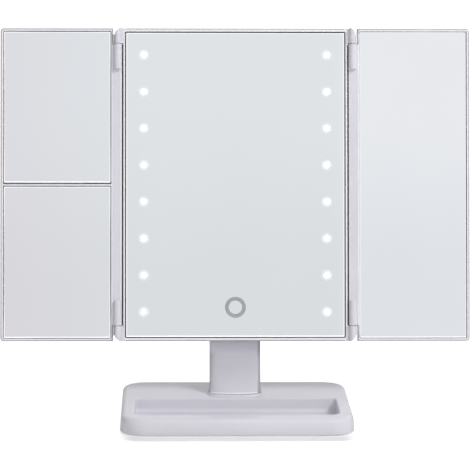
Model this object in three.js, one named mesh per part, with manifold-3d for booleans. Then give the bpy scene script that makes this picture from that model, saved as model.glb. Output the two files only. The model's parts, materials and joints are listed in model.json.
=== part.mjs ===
// Lighted three-panel vanity mirror: a tilting head with two folding wings on a stand with a tray.
// Units are millimetres, +Z is up, +X is the viewer's right and +Y points away from the viewer.

import * as THREE from 'three';
import * as BufferGeometryUtils from 'three/addons/utils/BufferGeometryUtils.js';
import Module from 'manifold-3d';

const wasm = await Module();
wasm.setup();

// Fits shared by the whole mirror
const seatGap = 0.3; // between pieces that touch
const slideGap = 0.4; // between pieces that move past each other
const past = 1; // how far a cutting shape runs past the face that it opens
const fuse = 0.5; // how far two forms reach into each other where they are one moulding
const leastRadius = 0.2; // smallest corner radius

// Head: the open width and the height of all three panels
const headWidth = 345;
const headHeight = 230;
const headLean = 11; // degrees back from upright
const panelDepth = 7.5; // thickness of the frames
const panelCorner = 2.5;
const panelEdge = 0.9; // rounding of the front edges
const glassRecess = 0.6; // glass face behind the frame's front
const glassFit = 0.25; // round the edge of a glass
const ledgeWidth = 4.5; // shelf that a glass is glued to

// Centre panel
const centreRimSide = 1.4;
const centreRimEnd = 2.4;
const centreGlassThickness = 2.4;

// Wings
const wingRim = 2;
const wingGlassThickness = 2;
const wingStrip = 7.8; // plain bar beside the hinge
const notchWeb = 1.5; // wall left behind the notch that takes a lug
const notchMouth = 4.2; // length of the notch that goes right through at its end
const notchStep = 1.3; // depth of the notch beyond the lug's tip
const wingBackThickness = 1.6;
const wingBackEdge = 0.4;
const wingBackRebate = 0.2; // cover wider than the glass opening on its outer edge
const mirrorRib = 1.9; // bar between the two magnifying mirrors
const upperMirrorRadius = 1900; // radius of the weaker concave mirror
const lowerMirrorRadius = 1300; // radius of the stronger concave mirror

// Wing hinges
const closedGap = 1; // between the two wings when both are folded in
const hingeForward = 1; // axis in front of the frames' front plane
const barrelRadius = 2.7;
const barrelLength = 18.4;
const lugLength = 11.1;
const lugReach = 1.8; // lug beyond the axis
const lugChamfer = 3;
const lugDepth = 4.6;
const lugProud = 0.1; // lug's flat in front of the frame's front plane
const lugSteps = 12;
const pinRadius = 1;
const pinHole = 0.25; // clearance round a pin
const pinLength = 23;
const pinShareInLug = 0.3; // share of a pin's length that sits in the lug
const barrelShoulder = 0.7; // between a knuckle and the wing's notched edge
const wingGap = 0.9; // between a wing and the centre frame

// Lights and touch ring
const lightCount = 8;
const lightFromEdge = 15.2; // column from the centre panel's side
const lightTopInset = 19.5;
const lightBottomInset = 21.5;
const pipRadius = 3.4;
const pipSides = 12;
const stripWidth = 11;
const stripThickness = 1.5;
const stripPastPip = 1.6; // strip beyond its last window
const ledSize = 3;
const ledHeight = 0.8;
const boardThickness = 1;
const boardMargin = 1; // board narrower than the strip on each side
const chipSeat = 0.2; // chip sunk into its board
const ringHeight = 24.9; // centre above the head's lower edge
const ringOuter = 7.7;
const ringInner = 4.9;
const ringDepth = 0.8;

// Control board and charging socket
const boardHalfHeight = 8;
const boardLeft = -16;
const chipHeight = 0.9;
const touchChipX = 21;
const touchChipSize = 6;
const driverChipX = 34;
const driverChipSize = 4;
const socketFromLights = 15.3; // socket from the right column of lights
const socketWidth = 7.6;
const socketHeight = 2.8;
const socketWall = 0.5;
const socketFloor = 1;
const tongueInset = 1.6; // tongue narrower than the socket on each side
const tongueThickness = 0.6;
const tongueShort = 1.4; // tongue's end inside the socket's mouth
const socketMargin = 0.8; // board beyond the socket

// Rear housing
const panThickness = 6; // behind the frame
const wall = 1.8;
const panEdge = 3;
const bulgeAboveBay = 14.4;
const bulgeThickness = 9.5; // behind the pan
const bulgeEdge = 4;
const ribThickness = 1.2;
const railInset = 2.2; // rail from the edge of its light board
const railShort = 6; // rail's end from the corner boss

// Battery bay
const cellRadius = 5.25;
const cellLength = 44.5;
const cellPitch = 11.1;
const cellCount = 4;
const springRoom = 4.5; // length of a compressed contact spring
const coverThickness = 1.6;
const coverOverlap = 2.6; // rebate that the cover lies in
const bayAboveSlot = 16.9;
const cellButtonRadius = 1.9;
const cellButtonHeight = 1;
const cellEdge = 0.5;
const springBase = 3.4; // radii of a contact spring
const springTip = 1.4;
const studBase = 1.8; // radii of a plain contact stud
const studTip = 1.2;
const contactThickness = 0.5;
const contactShort = 1.2; // contact plate lower than the cells
const gripCount = 3;
const gripPitch = 2.6;
const gripWidth = 1.2;
const gripDepth = 0.6;
const gripInset = 6; // first grip line below the cover's upper edge
const gripHalfLength = 8;
const gripStep = 2; // each line shorter than the one above on each side

// Tilt joint
const pivotHeight = 8; // above the head's lower edge
const barrelSunk = 0.5; // neck's barrel inside the housing's back
const neckBarrelRadius = 6.3;
const axleRadius = 2.5;
const washerThickness = 1.1;
const washerSheet = 0.5; // thickness of the washer's own sheet
const washerInset = 0.8; // washer smaller than the neck's barrel
const earThickness = 10;
const capRoom = 3.25; // depth of the bore that a cap closes
const capWall = 1.7; // cap larger than the axle
const capEdge = 0.6;

// Neck
const neckWidth = 38;
const neckFootWidth = 39.9;
const neckFootDepth = 13.4;
const neckTopDepth = 9.6;
const tenonWidth = 26;
const tenonDepth = 7;
const footOval = 2.3; // superellipse exponent of the foot
const topOval = 4; // the same below the barrel
const neckBend = 0.25; // share of the height by which the neck starts to lean back
const neckSteps = 7;
const partingSteps = 9; // steps of the surface that parts the neck's two shells
const neckPoints = 26;
const barrelProud = 0.15; // barrel's ends beyond the sides of the neck
const flareShare = 0.25; // share of the height over which the foot flares
const squareShare = 0.625; // share of the height at which the section is squarest
const footBlockHeight = 9; // solid block above the tenon
const tenonCorner = 2;
const neckScrewLength = 17;
const coverScrewShares = [0.22, 0.62]; // heights of the cover's screws
const coverScrewShort = 2.4; // cover screws shorter than the neck is deep

// Stand
const baseWidth = 168;
const baseDepth = 118;
const baseHeight = 12.4; // top face above the table
const baseCorner = 17;
const baseDraft = 0.9;
const baseEdge = 3.4;
const baseWall = 2.2;
const baseLift = 0.8; // shell's rim above the table
const plateThickness = 2;
const footHeight = 1.6;
const footEdge = 0.5;
const footFromSide = 20; // middle of a foot from the stand's side
const footRim = 0.7; // plate left beside a front foot's seat
const collarHeight = 1;
const collarSide = 2; // pad beyond the neck's foot at each side
const collarFront = 4; // and in front of it and behind it
const collarChamfer = 0.6;
const plateRecess = 0.3; // base plate above the shell's rim

// Tray
const traySideRim = 11.1; // from the stand's sides
const trayFrontRim = 15.5; // from the stand's front
const trayToNeck = 14.1; // from the tray's rear edge to the middle of the neck
const trayWall = 1.4;
const trayFrontCorner = 7;
const trayRearCorner = 2.6;
const trayLip = 2;
const trayFillet = 2.4;

// Places of the stand's parts
const neckFromRear = 40.1; // middle of the neck from the stand's rear edge
const headForward = 7.9; // lower front edge of the head in front of the middle of the neck
const headClearance = 41.4; // lower front edge of the head above the stand
const ballastFromBoss = 3.9;
const ballastHeadroom = 1.8; // below the ceiling of the stand
const ballastRearGap = 6.3;

// Screws
const screwRadius = 1.1;
const screwHead = 2.4;
const screwHeadHeight = 1.5;
const driveDepth = 0.75;
const driveRadius = 0.95;
const bossRadius = 3.1;
const bossShort = 0.2; // corner post lower than the frame's back
const baseScrewLength = 7;
const baseScrewFromFoot = 13;
const baseScrewFront = 8; // from the stand's front edge
const baseScrewRear = 11; // from the stand's rear edge
const screwSides = 8;

// Sizes that follow from the ones above
const lean = THREE.MathUtils.degToRad(headLean);
const headHalf = headWidth / 2;
const hingeX = (headHalf + closedGap / 2) / 2;
const wingInner = hingeX - barrelRadius - slideGap;
const centreHalf = wingInner - wingGap;
const panHalf = wingInner - seatGap; // the housing's pan closes the gap beside a wing from behind
const centreGlassBack = glassRecess + centreGlassThickness;
const ledgeFront = centreGlassBack + seatGap;
const lightOffset = centreHalf - lightFromEdge;
const lightPitch = (headHeight - lightTopInset - lightBottomInset) / (lightCount - 1);
const stripEnd = pipRadius + stripPastPip;
const stripBack = ledgeFront + stripThickness;
const ledFront = stripBack + seatGap;
const boardFront = ledFront + ledHeight;
const boardBack = boardFront + boardThickness;
const panFront = panelDepth + seatGap;
const panBack = panFront + panThickness;
const bulgeBack = panBack + bulgeThickness;
const pivotDepth = bulgeBack - neckBarrelRadius - barrelSunk; // behind the front plane
const slotHalf = neckWidth / 2 + washerThickness + 2 * slideGap;
const earHalf = slotHalf + earThickness;
const bulgeHalfWidth = earHalf + capRoom;
const slotTop = pivotHeight + neckBarrelRadius + 2 * slideGap;
const slotFront = pivotDepth - neckBarrelRadius - 2 * slideGap;
const bayHalf = ((cellCount - 1) * cellPitch) / 2 + cellRadius + slideGap;
const bayLength = cellLength + springRoom + 2 * seatGap + 2 * cellButtonHeight;
const bayBottom = slotTop + bayAboveSlot;
const bayTop = bayBottom + bayLength;
const bulgeHeight = bayTop + bulgeAboveBay;
const bayBack = bulgeBack - coverThickness - seatGap;
const bayFront = bayBack - 2 * cellRadius - 2 * seatGap;
const housingScrewX = centreHalf - centreRimSide - ledgeWidth - bossRadius + fuse;
const housingScrewInset = centreRimEnd + ledgeWidth + bossRadius - fuse;
const housingScrewLength = panBack - seatGap - ledgeFront - 2;
const socketX = lightOffset - socketFromLights;
const boardRight = socketX + socketWidth / 2 + socketMargin;
const capRadius = axleRadius + capWall;
const pinStart = lugLength - pinLength * pinShareInLug;
const baseHalfWidth = baseWidth / 2;
const baseHalfDepth = baseDepth / 2;
const neckFootY = baseHalfDepth - neckFromRear;
const headFootY = neckFootY - headForward;
const headFootZ = baseHeight + headClearance;
const trayHalfWidth = baseHalfWidth - traySideRim;
const trayFront = trayFrontRim - baseHalfDepth;
const trayBack = neckFootY - trayToNeck;
const cavityTop = baseHeight - baseWall;
const plateBottom = baseLift + plateRecess;
const plateTop = plateBottom + plateThickness;
const trayFloor = plateBottom + trayWall;
const ballastBottom = plateTop + seatGap;
const ballastTop = cavityTop - ballastHeadroom;
const tenonBottom = ballastTop + seatGap;
const collarTop = baseHeight + collarHeight;
const plateInset = baseWall + baseDraft + seatGap;
const plateHalfDepth = baseHalfDepth - plateInset;
const frontStrip = plateHalfDepth + trayFront - trayWall - seatGap; // plate in front of the tray
const footRadius = frontStrip / 2 - seatGap - footRim;
const footX = baseHalfWidth - footFromSide;
const footY = plateHalfDepth - frontStrip / 2;
const baseScrewX = footX - baseScrewFromFoot;
const ballastHalfWidth = baseScrewX - bossRadius - ballastFromBoss;
const neckScrewX = tenonWidth / 4;
const coverScrewLength = neckTopDepth - coverScrewShort;
const centreGlassX = [-centreHalf + centreRimSide + glassFit, centreHalf - centreRimSide - glassFit];
const centreGlassZ = [centreRimEnd + glassFit, headHeight - centreRimEnd - glassFit];
const wingGlassInner = wingInner + wingStrip;
const wingGlassOuter = headHalf - wingRim;
const notchEdge = hingeX + barrelRadius + barrelShoulder;
const lugRoomEdge = hingeX + lugReach + slideGap;
const barrelStart = lugLength + slideGap;

// Finishes
const finish = (color, roughness, metalness) => new THREE.MeshStandardMaterial({ color, roughness, metalness });
const whitePlastic = finish(0xe9e8ee, 0.28, 0);
const mirrorGlass = finish(0xdde3e5, 0.05, 0.9);
const milkyPlastic = finish(0xfbfcff, 0.45, 0);
const ringGrey = finish(0x9aa0a3, 0.4, 0);
const greenBoard = finish(0x1e5a3a, 0.5, 0);
const steel = finish(0x9b9da1, 0.35, 1);
const springSteel = finish(0xc4c6c8, 0.3, 1);
const copper = finish(0xc7805a, 0.4, 1);
const cellWrap = finish(0x4f5a63, 0.4, 0.3);
const softRubber = finish(0xd9d9dc, 0.85, 0);
const socketMetal = finish(0xb4b6ba, 0.3, 1);

const alongX = new THREE.Vector3(1, 0, 0);
const alongY = new THREE.Vector3(0, 1, 0);
const alongZ = new THREE.Vector3(0, 0, 1);
const towardsViewer = new THREE.Vector3(0, -1, 0);

// Closed mesh to solid: only shared positions are kept
function solidFrom(geometry) {
  const bare = geometry.clone();
  bare.deleteAttribute('normal');
  bare.deleteAttribute('uv');
  const merged = BufferGeometryUtils.mergeVertices(bare, 1e-4);
  const mesh = new wasm.Mesh({
    numProp: 3,
    vertProperties: Float32Array.from(merged.attributes.position.array),
    triVerts: Uint32Array.from(merged.index.array),
  });
  return new wasm.Manifold(mesh);
}

// Solid back to a mesh that three.js can show
function geometryFrom(solid) {
  const mesh = solid.getMesh();
  const geometry = new THREE.BufferGeometry();
  geometry.setAttribute('position', new THREE.BufferAttribute(Float32Array.from(mesh.vertProperties), 3));
  geometry.setIndex(new THREE.BufferAttribute(Uint32Array.from(mesh.triVerts), 1));
  geometry.computeVertexNormals();
  return geometry;
}

const join = (...solids) => solids.reduce((whole, solid) => whole.add(solid));
const cut = (body, ...tools) => tools.reduce((rest, tool) => rest.subtract(tool), body);
const span = (a, b) => [Math.min(a, b), Math.max(a, b)];
const aboutMiddle = (half) => [-half, half];
const aboutPoint = (middle, half) => [middle - half, middle + half];

// Solid through a stack of rings that all have the same number of points, closed at both ends
function ringLoft(rings) {
  const count = rings[0].length;
  const points = rings.flat();
  const triangles = [];
  for (let level = 0; level < rings.length - 1; level += 1) {
    for (let i = 0; i < count; i += 1) {
      const a = level * count + i;
      const b = level * count + ((i + 1) % count);
      triangles.push(a, b, b + count, a, b + count, a + count);
    }
  }
  const last = (rings.length - 1) * count;
  for (let i = 1; i < count - 1; i += 1) {
    triangles.push(0, i + 1, i, last, last + i, last + i + 1);
  }
  const geometry = new THREE.BufferGeometry();
  geometry.setAttribute('position', new THREE.Float32BufferAttribute(points.flatMap((p) => p.toArray()), 3));
  geometry.setIndex(signedVolume(points, triangles) < 0 ? turnedOver(triangles) : triangles);
  return solidFrom(geometry);
}

// Six times the volume that the triangles enclose, negative where they face inwards
function signedVolume(points, triangles) {
  let volume = 0;
  for (let i = 0; i < triangles.length; i += 3) {
    const [a, b, c] = [points[triangles[i]], points[triangles[i + 1]], points[triangles[i + 2]]];
    volume += a.dot(b.clone().cross(c));
  }
  return volume;
}

function turnedOver(triangles) {
  const turned = [];
  for (let i = 0; i < triangles.length; i += 3) {
    turned.push(triangles[i], triangles[i + 2], triangles[i + 1]);
  }
  return turned;
}

// Points of a rounded rectangle, counter-clockwise, with each corner an arc of equal steps: one radius for
// the two corners on its high side, one for those on its low side
function roundedOutline([lowU, highU], [lowV, highV], [highRadius, lowRadius], steps) {
  const points = [];
  const centres = [
    [highU - highRadius, highV - highRadius, highRadius],
    [lowU + highRadius, highV - highRadius, highRadius],
    [lowU + lowRadius, lowV + lowRadius, lowRadius],
    [highU - lowRadius, lowV + lowRadius, lowRadius],
  ];
  centres.forEach(([u, v, radius], corner) => {
    for (let i = 0; i <= steps; i += 1) {
      const angle = (corner + i / steps) * (Math.PI / 2);
      points.push([u + radius * Math.cos(angle), v + radius * Math.sin(angle)]);
    }
  });
  return points;
}

// Levels from low to high, each with its inset from the outline: quarter rounds at the two ends
function roundedLevels([low, high], lowRound, highRound, steps = 3) {
  const levels = [];
  for (let i = 0; i <= steps && lowRound > 0; i += 1) {
    const angle = (i / steps) * (Math.PI / 2);
    levels.push({ at: low + lowRound * (1 - Math.cos(angle)), inset: lowRound * (1 - Math.sin(angle)) });
  }
  if (lowRound <= 0) levels.push({ at: low, inset: 0 });
  if (highRound <= 0) levels.push({ at: high, inset: 0 });
  for (let i = steps; i >= 0 && highRound > 0; i -= 1) {
    const angle = (i / steps) * (Math.PI / 2);
    levels.push({ at: high - highRound * (1 - Math.cos(angle)), inset: highRound * (1 - Math.sin(angle)) });
  }
  return levels;
}

// Rounded rectangles stacked along one axis; place puts (u, v, level) into space. The low side's corners
// have the same radius as the high side's unless theirs is given.
function stack(spanU, spanV, levels, highCorner, steps, place, lowCorner = highCorner) {
  return ringLoft(levels.map(({ at, inset }) => {
    const u = [spanU[0] + inset, spanU[1] - inset];
    const v = [spanV[0] + inset, spanV[1] - inset];
    const radii = [highCorner, lowCorner].map((corner) => Math.max(corner - inset, leastRadius));
    return roundedOutline(u, v, radii, steps).map(([a, b]) => place(a, b, at));
  }));
}

const flat = (x, y, z) => new THREE.Vector3(x, y, z);
const upright = (x, z, y) => new THREE.Vector3(x, y, z);

// Plate that lies flat, with its corners and its lower and upper edges rounded
function slab(x, y, z, { corner = 1, low = 0, high = 0, steps = 4 } = {}) {
  return stack(x, y, roundedLevels(z, low, high), corner, steps, flat);
}

// Plate that stands up: x across, z up, y its thickness, with its front and back edges rounded
function panel(x, z, y, { corner = 1, front = 0, back = 0, steps = 3 } = {}) {
  return stack(x, z, roundedLevels(y, front, back), corner, steps, upright);
}

function block([x0, x1], [y0, y1], [z0, z1]) {
  const geometry = new THREE.BoxGeometry(x1 - x0, y1 - y0, z1 - z0);
  geometry.translate((x0 + x1) / 2, (y0 + y1) / 2, (z0 + z1) / 2);
  return solidFrom(geometry);
}

// Turned piece: pairs of radius and distance along the axis from start towards the end point
function turned(profile, start, direction, sides = 16) {
  const points = profile.map(([radius, along]) => new THREE.Vector2(radius, along));
  const geometry = new THREE.LatheGeometry(points, sides);
  const turn = new THREE.Quaternion().setFromUnitVectors(alongY, direction.clone().normalize());
  geometry.applyQuaternion(turn);
  geometry.translate(start.x, start.y, start.z);
  return solidFrom(geometry);
}

function rod(radius, start, end, sides = 16) {
  const direction = end.clone().sub(start);
  const length = direction.length();
  return turned([[0, 0], [radius, 0], [radius, length], [0, length]], start, direction, sides);
}

// Countersunk screw: its head starts at the given point and the shank runs along the direction
function screw(start, direction, length) {
  const profile = [
    [0, driveDepth],
    [driveRadius, driveDepth],
    [driveRadius, 0],
    [screwHead, 0],
    [screwRadius, screwHeadHeight],
    [screwRadius, length - screwRadius],
    [0, length],
  ];
  return turned(profile, start, direction, screwSides);
}

// Room for a countersunk screw: the screw's own shape grown by the seat gap, open behind the head
function screwRoom(start, direction, length) {
  const profile = [
    [0, -past],
    [screwHead + seatGap, -past],
    [screwHead + seatGap, 0],
    [screwRadius + seatGap, screwHeadHeight + seatGap],
    [screwRadius + seatGap, length + seatGap],
    [0, length + seatGap],
  ];
  return turned(profile, start, direction, screwSides);
}

const root = new THREE.Group();
const head = new THREE.Group();
head.position.set(0, headFootY, headFootZ);
head.rotation.x = -lean;
root.add(head);

function addPiece(parent, name, solid, material) {
  const mesh = new THREE.Mesh(geometryFrom(solid), material);
  mesh.name = name;
  parent.add(mesh);
}

// Point of the head, given across, behind the front plane and above the lower edge, in the stand's frame
function fromHead(x, depth, height) {
  const point = new THREE.Vector3(x, depth, height);
  return point.applyAxisAngle(alongX, -lean).add(new THREE.Vector3(0, headFootY, headFootZ));
}

// Stand

const screwPlaces = [];
for (const side of [-1, 1]) {
  screwPlaces.push([side * baseScrewX, baseScrewFront - baseHalfDepth]);
  screwPlaces.push([side * baseScrewX, baseHalfDepth - baseScrewRear]);
}

// Outer form of the stand: drafted sides and a soft upper edge
function baseOuter() {
  const levels = roundedLevels([baseLift, baseHeight], 0, baseEdge, 3).map(({ at, inset }) => {
    const draft = (baseDraft * (at - baseLift)) / (baseHeight - baseLift);
    return { at, inset: inset + draft };
  });
  return stack(aboutMiddle(baseHalfWidth), aboutMiddle(baseHalfDepth), levels, baseCorner, 5, flat);
}

// Tray form grown by a margin: filleted floor, upright wall and a lip that opens at the top
function trayForm(margin) {
  const x = aboutMiddle(trayHalfWidth + margin);
  const y = [trayFront - margin, trayBack + margin];
  const levels = roundedLevels([trayFloor - margin, baseHeight - trayLip], trayFillet, 0, 3);
  for (let i = 1; i <= 3; i += 1) {
    const angle = (i / 3) * (Math.PI / 2);
    levels.push({ at: baseHeight - trayLip + trayLip * Math.sin(angle), inset: -trayLip * (1 - Math.cos(angle)) });
  }
  levels.push({ at: baseHeight + past, inset: -trayLip });
  return stack(x, y, levels, trayRearCorner + margin, 4, flat, trayFrontCorner + margin);
}

function tenonForm(margin, bottom, top) {
  const x = aboutMiddle(tenonWidth / 2 + margin);
  const y = [neckFootY - tenonDepth / 2 - margin, neckFootY + tenonDepth / 2 + margin];
  return slab(x, y, [bottom, top], { corner: tenonCorner + margin, steps: 2 });
}

function baseShell() {
  const inset = baseWall + baseDraft;
  const cavityX = aboutMiddle(baseHalfWidth - inset);
  const cavityY = aboutMiddle(baseHalfDepth - inset);
  const levels = roundedLevels([baseLift - past, cavityTop], 0, baseEdge - baseWall / 2, 2);
  const cavity = stack(cavityX, cavityY, levels, baseCorner - inset, 4, flat);
  const hollow = cut(cavity, trayForm(trayWall));
  const bosses = screwPlaces.map(([x, y]) => (
    rod(bossRadius, flat(x, y, plateTop + seatGap), flat(x, y, cavityTop + fuse), 12)
  ));
  const pilots = screwPlaces.map(baseScrewRoom);
  const tray = trayForm(0);
  const tenonRoom = tenonForm(seatGap, baseLift, collarTop + past);
  const shell = join(cut(baseOuter(), hollow), neckPad(), ...bosses);
  return cut(shell, tray, tenonRoom, ...pilots);
}

const baseScrewStart = ([x, y]) => flat(x, y, plateBottom + seatGap);
const baseScrewRoom = (place) => screwRoom(baseScrewStart(place), alongZ, baseScrewLength);

// Low oval pad round the foot of the neck, with a chamfered upper edge
function neckPad() {
  const halfWidth = neckFootWidth / 2 + collarSide;
  const halfDepth = neckFootDepth / 2 + collarFront;
  const levels = [
    { at: baseHeight - fuse, inset: 0 },
    { at: collarTop - collarChamfer, inset: 0 },
    { at: collarTop, inset: collarChamfer },
  ];
  return ringLoft(levels.map(({ at, inset }) => (
    ovalRing(halfWidth - inset, halfDepth - inset, footOval, neckPoints).map(([u, v]) => (
      flat(u, neckFootY + v, at)
    ))
  )));
}

// Superellipse with the given half axes: an exponent of 2 is an ellipse, a higher one is squarer
function ovalRing(halfU, halfV, exponent, count) {
  const points = [];
  for (let i = 0; i < count; i += 1) {
    const angle = (i / count) * 2 * Math.PI;
    const c = Math.cos(angle);
    const s = Math.sin(angle);
    points.push([
      halfU * Math.sign(c) * Math.abs(c) ** (2 / exponent),
      halfV * Math.sign(s) * Math.abs(s) ** (2 / exponent),
    ]);
  }
  return points;
}

// Plate that closes the stand from below, open where the tray comes down level with it
function basePlate() {
  const x = aboutMiddle(baseHalfWidth - plateInset);
  const y = aboutMiddle(plateHalfDepth);
  const plate = slab(x, y, [plateBottom, plateTop], { corner: baseCorner - plateInset, steps: 4 });
  const seats = [];
  for (const [sideX, sideY] of [[-1, -1], [1, -1], [-1, 1], [1, 1]]) {
    const low = flat(sideX * footX, sideY * footY, plateBottom - past);
    const high = flat(sideX * footX, sideY * footY, footHeight + seatGap);
    seats.push(rod(footRadius + seatGap, low, high, 20));
  }
  return cut(plate, trayForm(trayWall + seatGap), ...seats, ...screwPlaces.map(baseScrewRoom));
}

// Rubber foot: a low disc with a rounded lower edge
function foot(x, y) {
  const profile = [
    [0, 0],
    [footRadius - footEdge, 0],
    [footRadius, footEdge],
    [footRadius, footHeight],
    [0, footHeight],
  ];
  return turned(profile, flat(x, y, 0), alongZ, 20);
}

function ballastPlate() {
  const y = [trayBack + baseWall + trayLip + slideGap, baseHalfDepth - baseWall - ballastRearGap];
  const plate = slab(aboutMiddle(ballastHalfWidth), y, [ballastBottom, ballastTop], { corner: 4, steps: 3 });
  return cut(plate, ...[-1, 1].map(neckScrewRoom));
}

const neckScrewStart = (side) => flat(side * neckScrewX, neckFootY, ballastBottom + seatGap);
const neckScrewRoom = (side) => screwRoom(neckScrewStart(side), alongZ, neckScrewLength);

// Neck

const pivot = fromHead(0, pivotDepth, pivotHeight);
const neckFoot = flat(0, neckFootY, collarTop + seatGap);
const neckPath = new THREE.QuadraticBezierCurve3(
  neckFoot,
  flat(0, neckFootY, THREE.MathUtils.lerp(neckFoot.z, pivot.z, neckBend)),
  pivot,
);

// Direction across the neck, from its front to its back, at a share of its height
function neckNormal(share) {
  return neckPath.getTangent(share).cross(alongX);
}

// Outer form of the neck: an oval foot that grows flatter and squarer towards the barrel
function neckForm() {
  const rings = [];
  const steps = neckSteps;
  for (let i = 0; i <= steps; i += 1) {
    const share = i / steps;
    const flare = Math.max(1 - share / flareShare, 0) ** 2;
    const halfWidth = THREE.MathUtils.lerp(neckWidth, neckFootWidth, flare) / 2 - barrelProud;
    const halfDepth = THREE.MathUtils.lerp(neckFootDepth, neckTopDepth, Math.sqrt(share)) / 2;
    const exponent = THREE.MathUtils.lerp(footOval, topOval, Math.min(share / squareShare, 1));
    const centre = neckPath.getPoint(share);
    const across = neckNormal(share);
    rings.push(ovalRing(halfWidth, halfDepth, exponent, neckPoints).map(([u, v]) => (
      centre.clone().addScaledVector(alongX, u).addScaledVector(across, v)
    )));
  }
  const barrelEnd = (side) => flat(side * (neckWidth / 2), pivot.y, pivot.z);
  return join(ringLoft(rings), rod(neckBarrelRadius, barrelEnd(-1), barrelEnd(1), 24));
}

// Everything on one side of the parting line that runs up the middle of the neck's edge
function neckSide(side) {
  const reach = 3 * neckBarrelRadius;
  const rings = [];
  for (let i = 0; i <= partingSteps; i += 1) {
    const share = i / partingSteps;
    const beyond = { 0: -reach, [partingSteps]: reach }[i] ?? 0;
    const centre = neckPath.getPoint(share).addScaledVector(neckPath.getTangent(share), beyond);
    const across = neckNormal(share).multiplyScalar(side);
    const corners = [[-neckWidth, seatGap / 2], [neckWidth, seatGap / 2], [neckWidth, reach], [-neckWidth, reach]];
    rings.push(corners.map(([u, v]) => centre.clone().addScaledVector(alongX, u).addScaledVector(across, v)));
  }
  return ringLoft(rings);
}

const axleHole = () => rod(
  axleRadius + seatGap,
  flat(-neckWidth, pivot.y, pivot.z),
  flat(neckWidth, pivot.y, pivot.z),
  20,
);

// Screws that hold the neck's cover from behind
function coverScrewStart(share) {
  const depth = THREE.MathUtils.lerp(neckFootDepth, neckTopDepth, Math.sqrt(share)) / 2;
  return neckPath.getPoint(share).addScaledVector(neckNormal(share), depth - seatGap);
}

function coverScrewRoom(share) {
  return screwRoom(coverScrewStart(share), neckNormal(share).negate(), coverScrewLength);
}

function neckFront() {
  const half = neckForm().intersect(neckSide(-1));
  const tenon = tenonForm(0, tenonBottom, neckFoot.z + footBlockHeight);
  return cut(
    join(half, tenon),
    axleHole(),
    ...[-1, 1].map(neckScrewRoom),
    ...coverScrewShares.map(coverScrewRoom),
  );
}

function neckCover() {
  const half = neckForm().intersect(neckSide(1));
  const footRoom = tenonForm(seatGap, neckFoot.z - past, neckFoot.z + footBlockHeight + seatGap);
  return cut(half, axleHole(), footRoom, ...coverScrewShares.map(coverScrewRoom));
}

// Spring washer between the neck's barrel and an ear of the head
function frictionWasher(side) {
  const inner = axleRadius + seatGap;
  const outer = neckBarrelRadius - washerInset;
  const profile = [
    [inner, 0],
    [outer, washerThickness - washerSheet],
    [outer, washerThickness],
    [inner, washerSheet],
    [inner, 0],
  ];
  const start = flat(side * (neckWidth / 2 + slideGap), pivot.y, pivot.z);
  return turned(profile, start, flat(side, 0, 0), 20);
}

// Centre frame

// Point on a wing hinge's axis
const hingePoint = (side, height) => flat(side * hingeX, -hingeForward, height);

// Hinge lug at one corner: round about the pin at the front, square behind, with its end chamfered
function hingeLug(side, atTop) {
  const tip = hingeX + lugReach;
  const rootX = centreHalf - past;
  const firstAngle = Math.PI - Math.asin((hingeForward - lugProud) / barrelRadius);
  const lastAngle = 2 * Math.PI - Math.acos(lugReach / barrelRadius);
  const outline = [[tip, lugDepth], [rootX, lugDepth], [rootX, -lugProud]];
  for (let i = 0; i <= lugSteps; i += 1) {
    const angle = THREE.MathUtils.lerp(firstAngle, lastAngle, i / lugSteps);
    outline.push([hingeX + barrelRadius * Math.cos(angle), barrelRadius * Math.sin(angle) - hingeForward]);
  }
  const ends = atTop ? [headHeight - lugLength, headHeight] : [0, lugLength];
  const lug = ringLoft(ends.map((height) => outline.map(([x, depth]) => flat(side * x, depth, height))));
  const end = atTop ? headHeight : 0;
  const inward = atTop ? -1 : 1;
  const corner = [
    [side * (tip + past), end + inward * (lugChamfer + past)],
    [side * (tip + past), end - inward * past],
    [side * (tip - lugChamfer - past), end - inward * past],
  ];
  const wedge = ringLoft([-3 * barrelRadius, 2 * lugDepth].map((depth) => (
    corner.map(([x, height]) => flat(x, depth, height))
  )));
  return cut(lug, wedge);
}

// Hinge pin, or its hole where there is a margin
function hingePin(side, atTop, margin) {
  const low = pinStart - margin;
  const high = pinStart + pinLength + margin;
  const ends = atTop ? [headHeight - high, headHeight - low] : [low, high];
  return rod(pinRadius + margin, hingePoint(side, ends[0]), hingePoint(side, ends[1]), 12);
}

function centreFrame() {
  const x = aboutMiddle(centreHalf);
  const z = [0, headHeight];
  const outer = panel(x, z, [0, panelDepth], { corner: panelCorner, front: panelEdge });
  const pocketX = aboutMiddle(centreHalf - centreRimSide);
  const pocketZ = [centreRimEnd, headHeight - centreRimEnd];
  const pocket = panel(pocketX, pocketZ, [-past, ledgeFront], { corner: 1, steps: 2 });
  const windowX = aboutMiddle(centreHalf - centreRimSide - ledgeWidth);
  const windowZ = [centreRimEnd + ledgeWidth, headHeight - centreRimEnd - ledgeWidth];
  const window = panel(windowX, windowZ, [-past, panelDepth + past], { corner: 3, steps: 2 });
  const parts = [cut(outer, pocket, window)];
  const holes = [];
  for (const side of [-1, 1]) {
    for (const atTop of [false, true]) {
      parts.push(hingeLug(side, atTop));
      parts.push(housingBoss(side, atTop));
      holes.push(hingePin(side, atTop, pinHole), housingScrewRoom(side, atTop));
    }
  }
  return cut(join(...parts), ...holes);
}

const housingScrewZ = (atTop) => (atTop ? headHeight - housingScrewInset : housingScrewInset);

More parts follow.
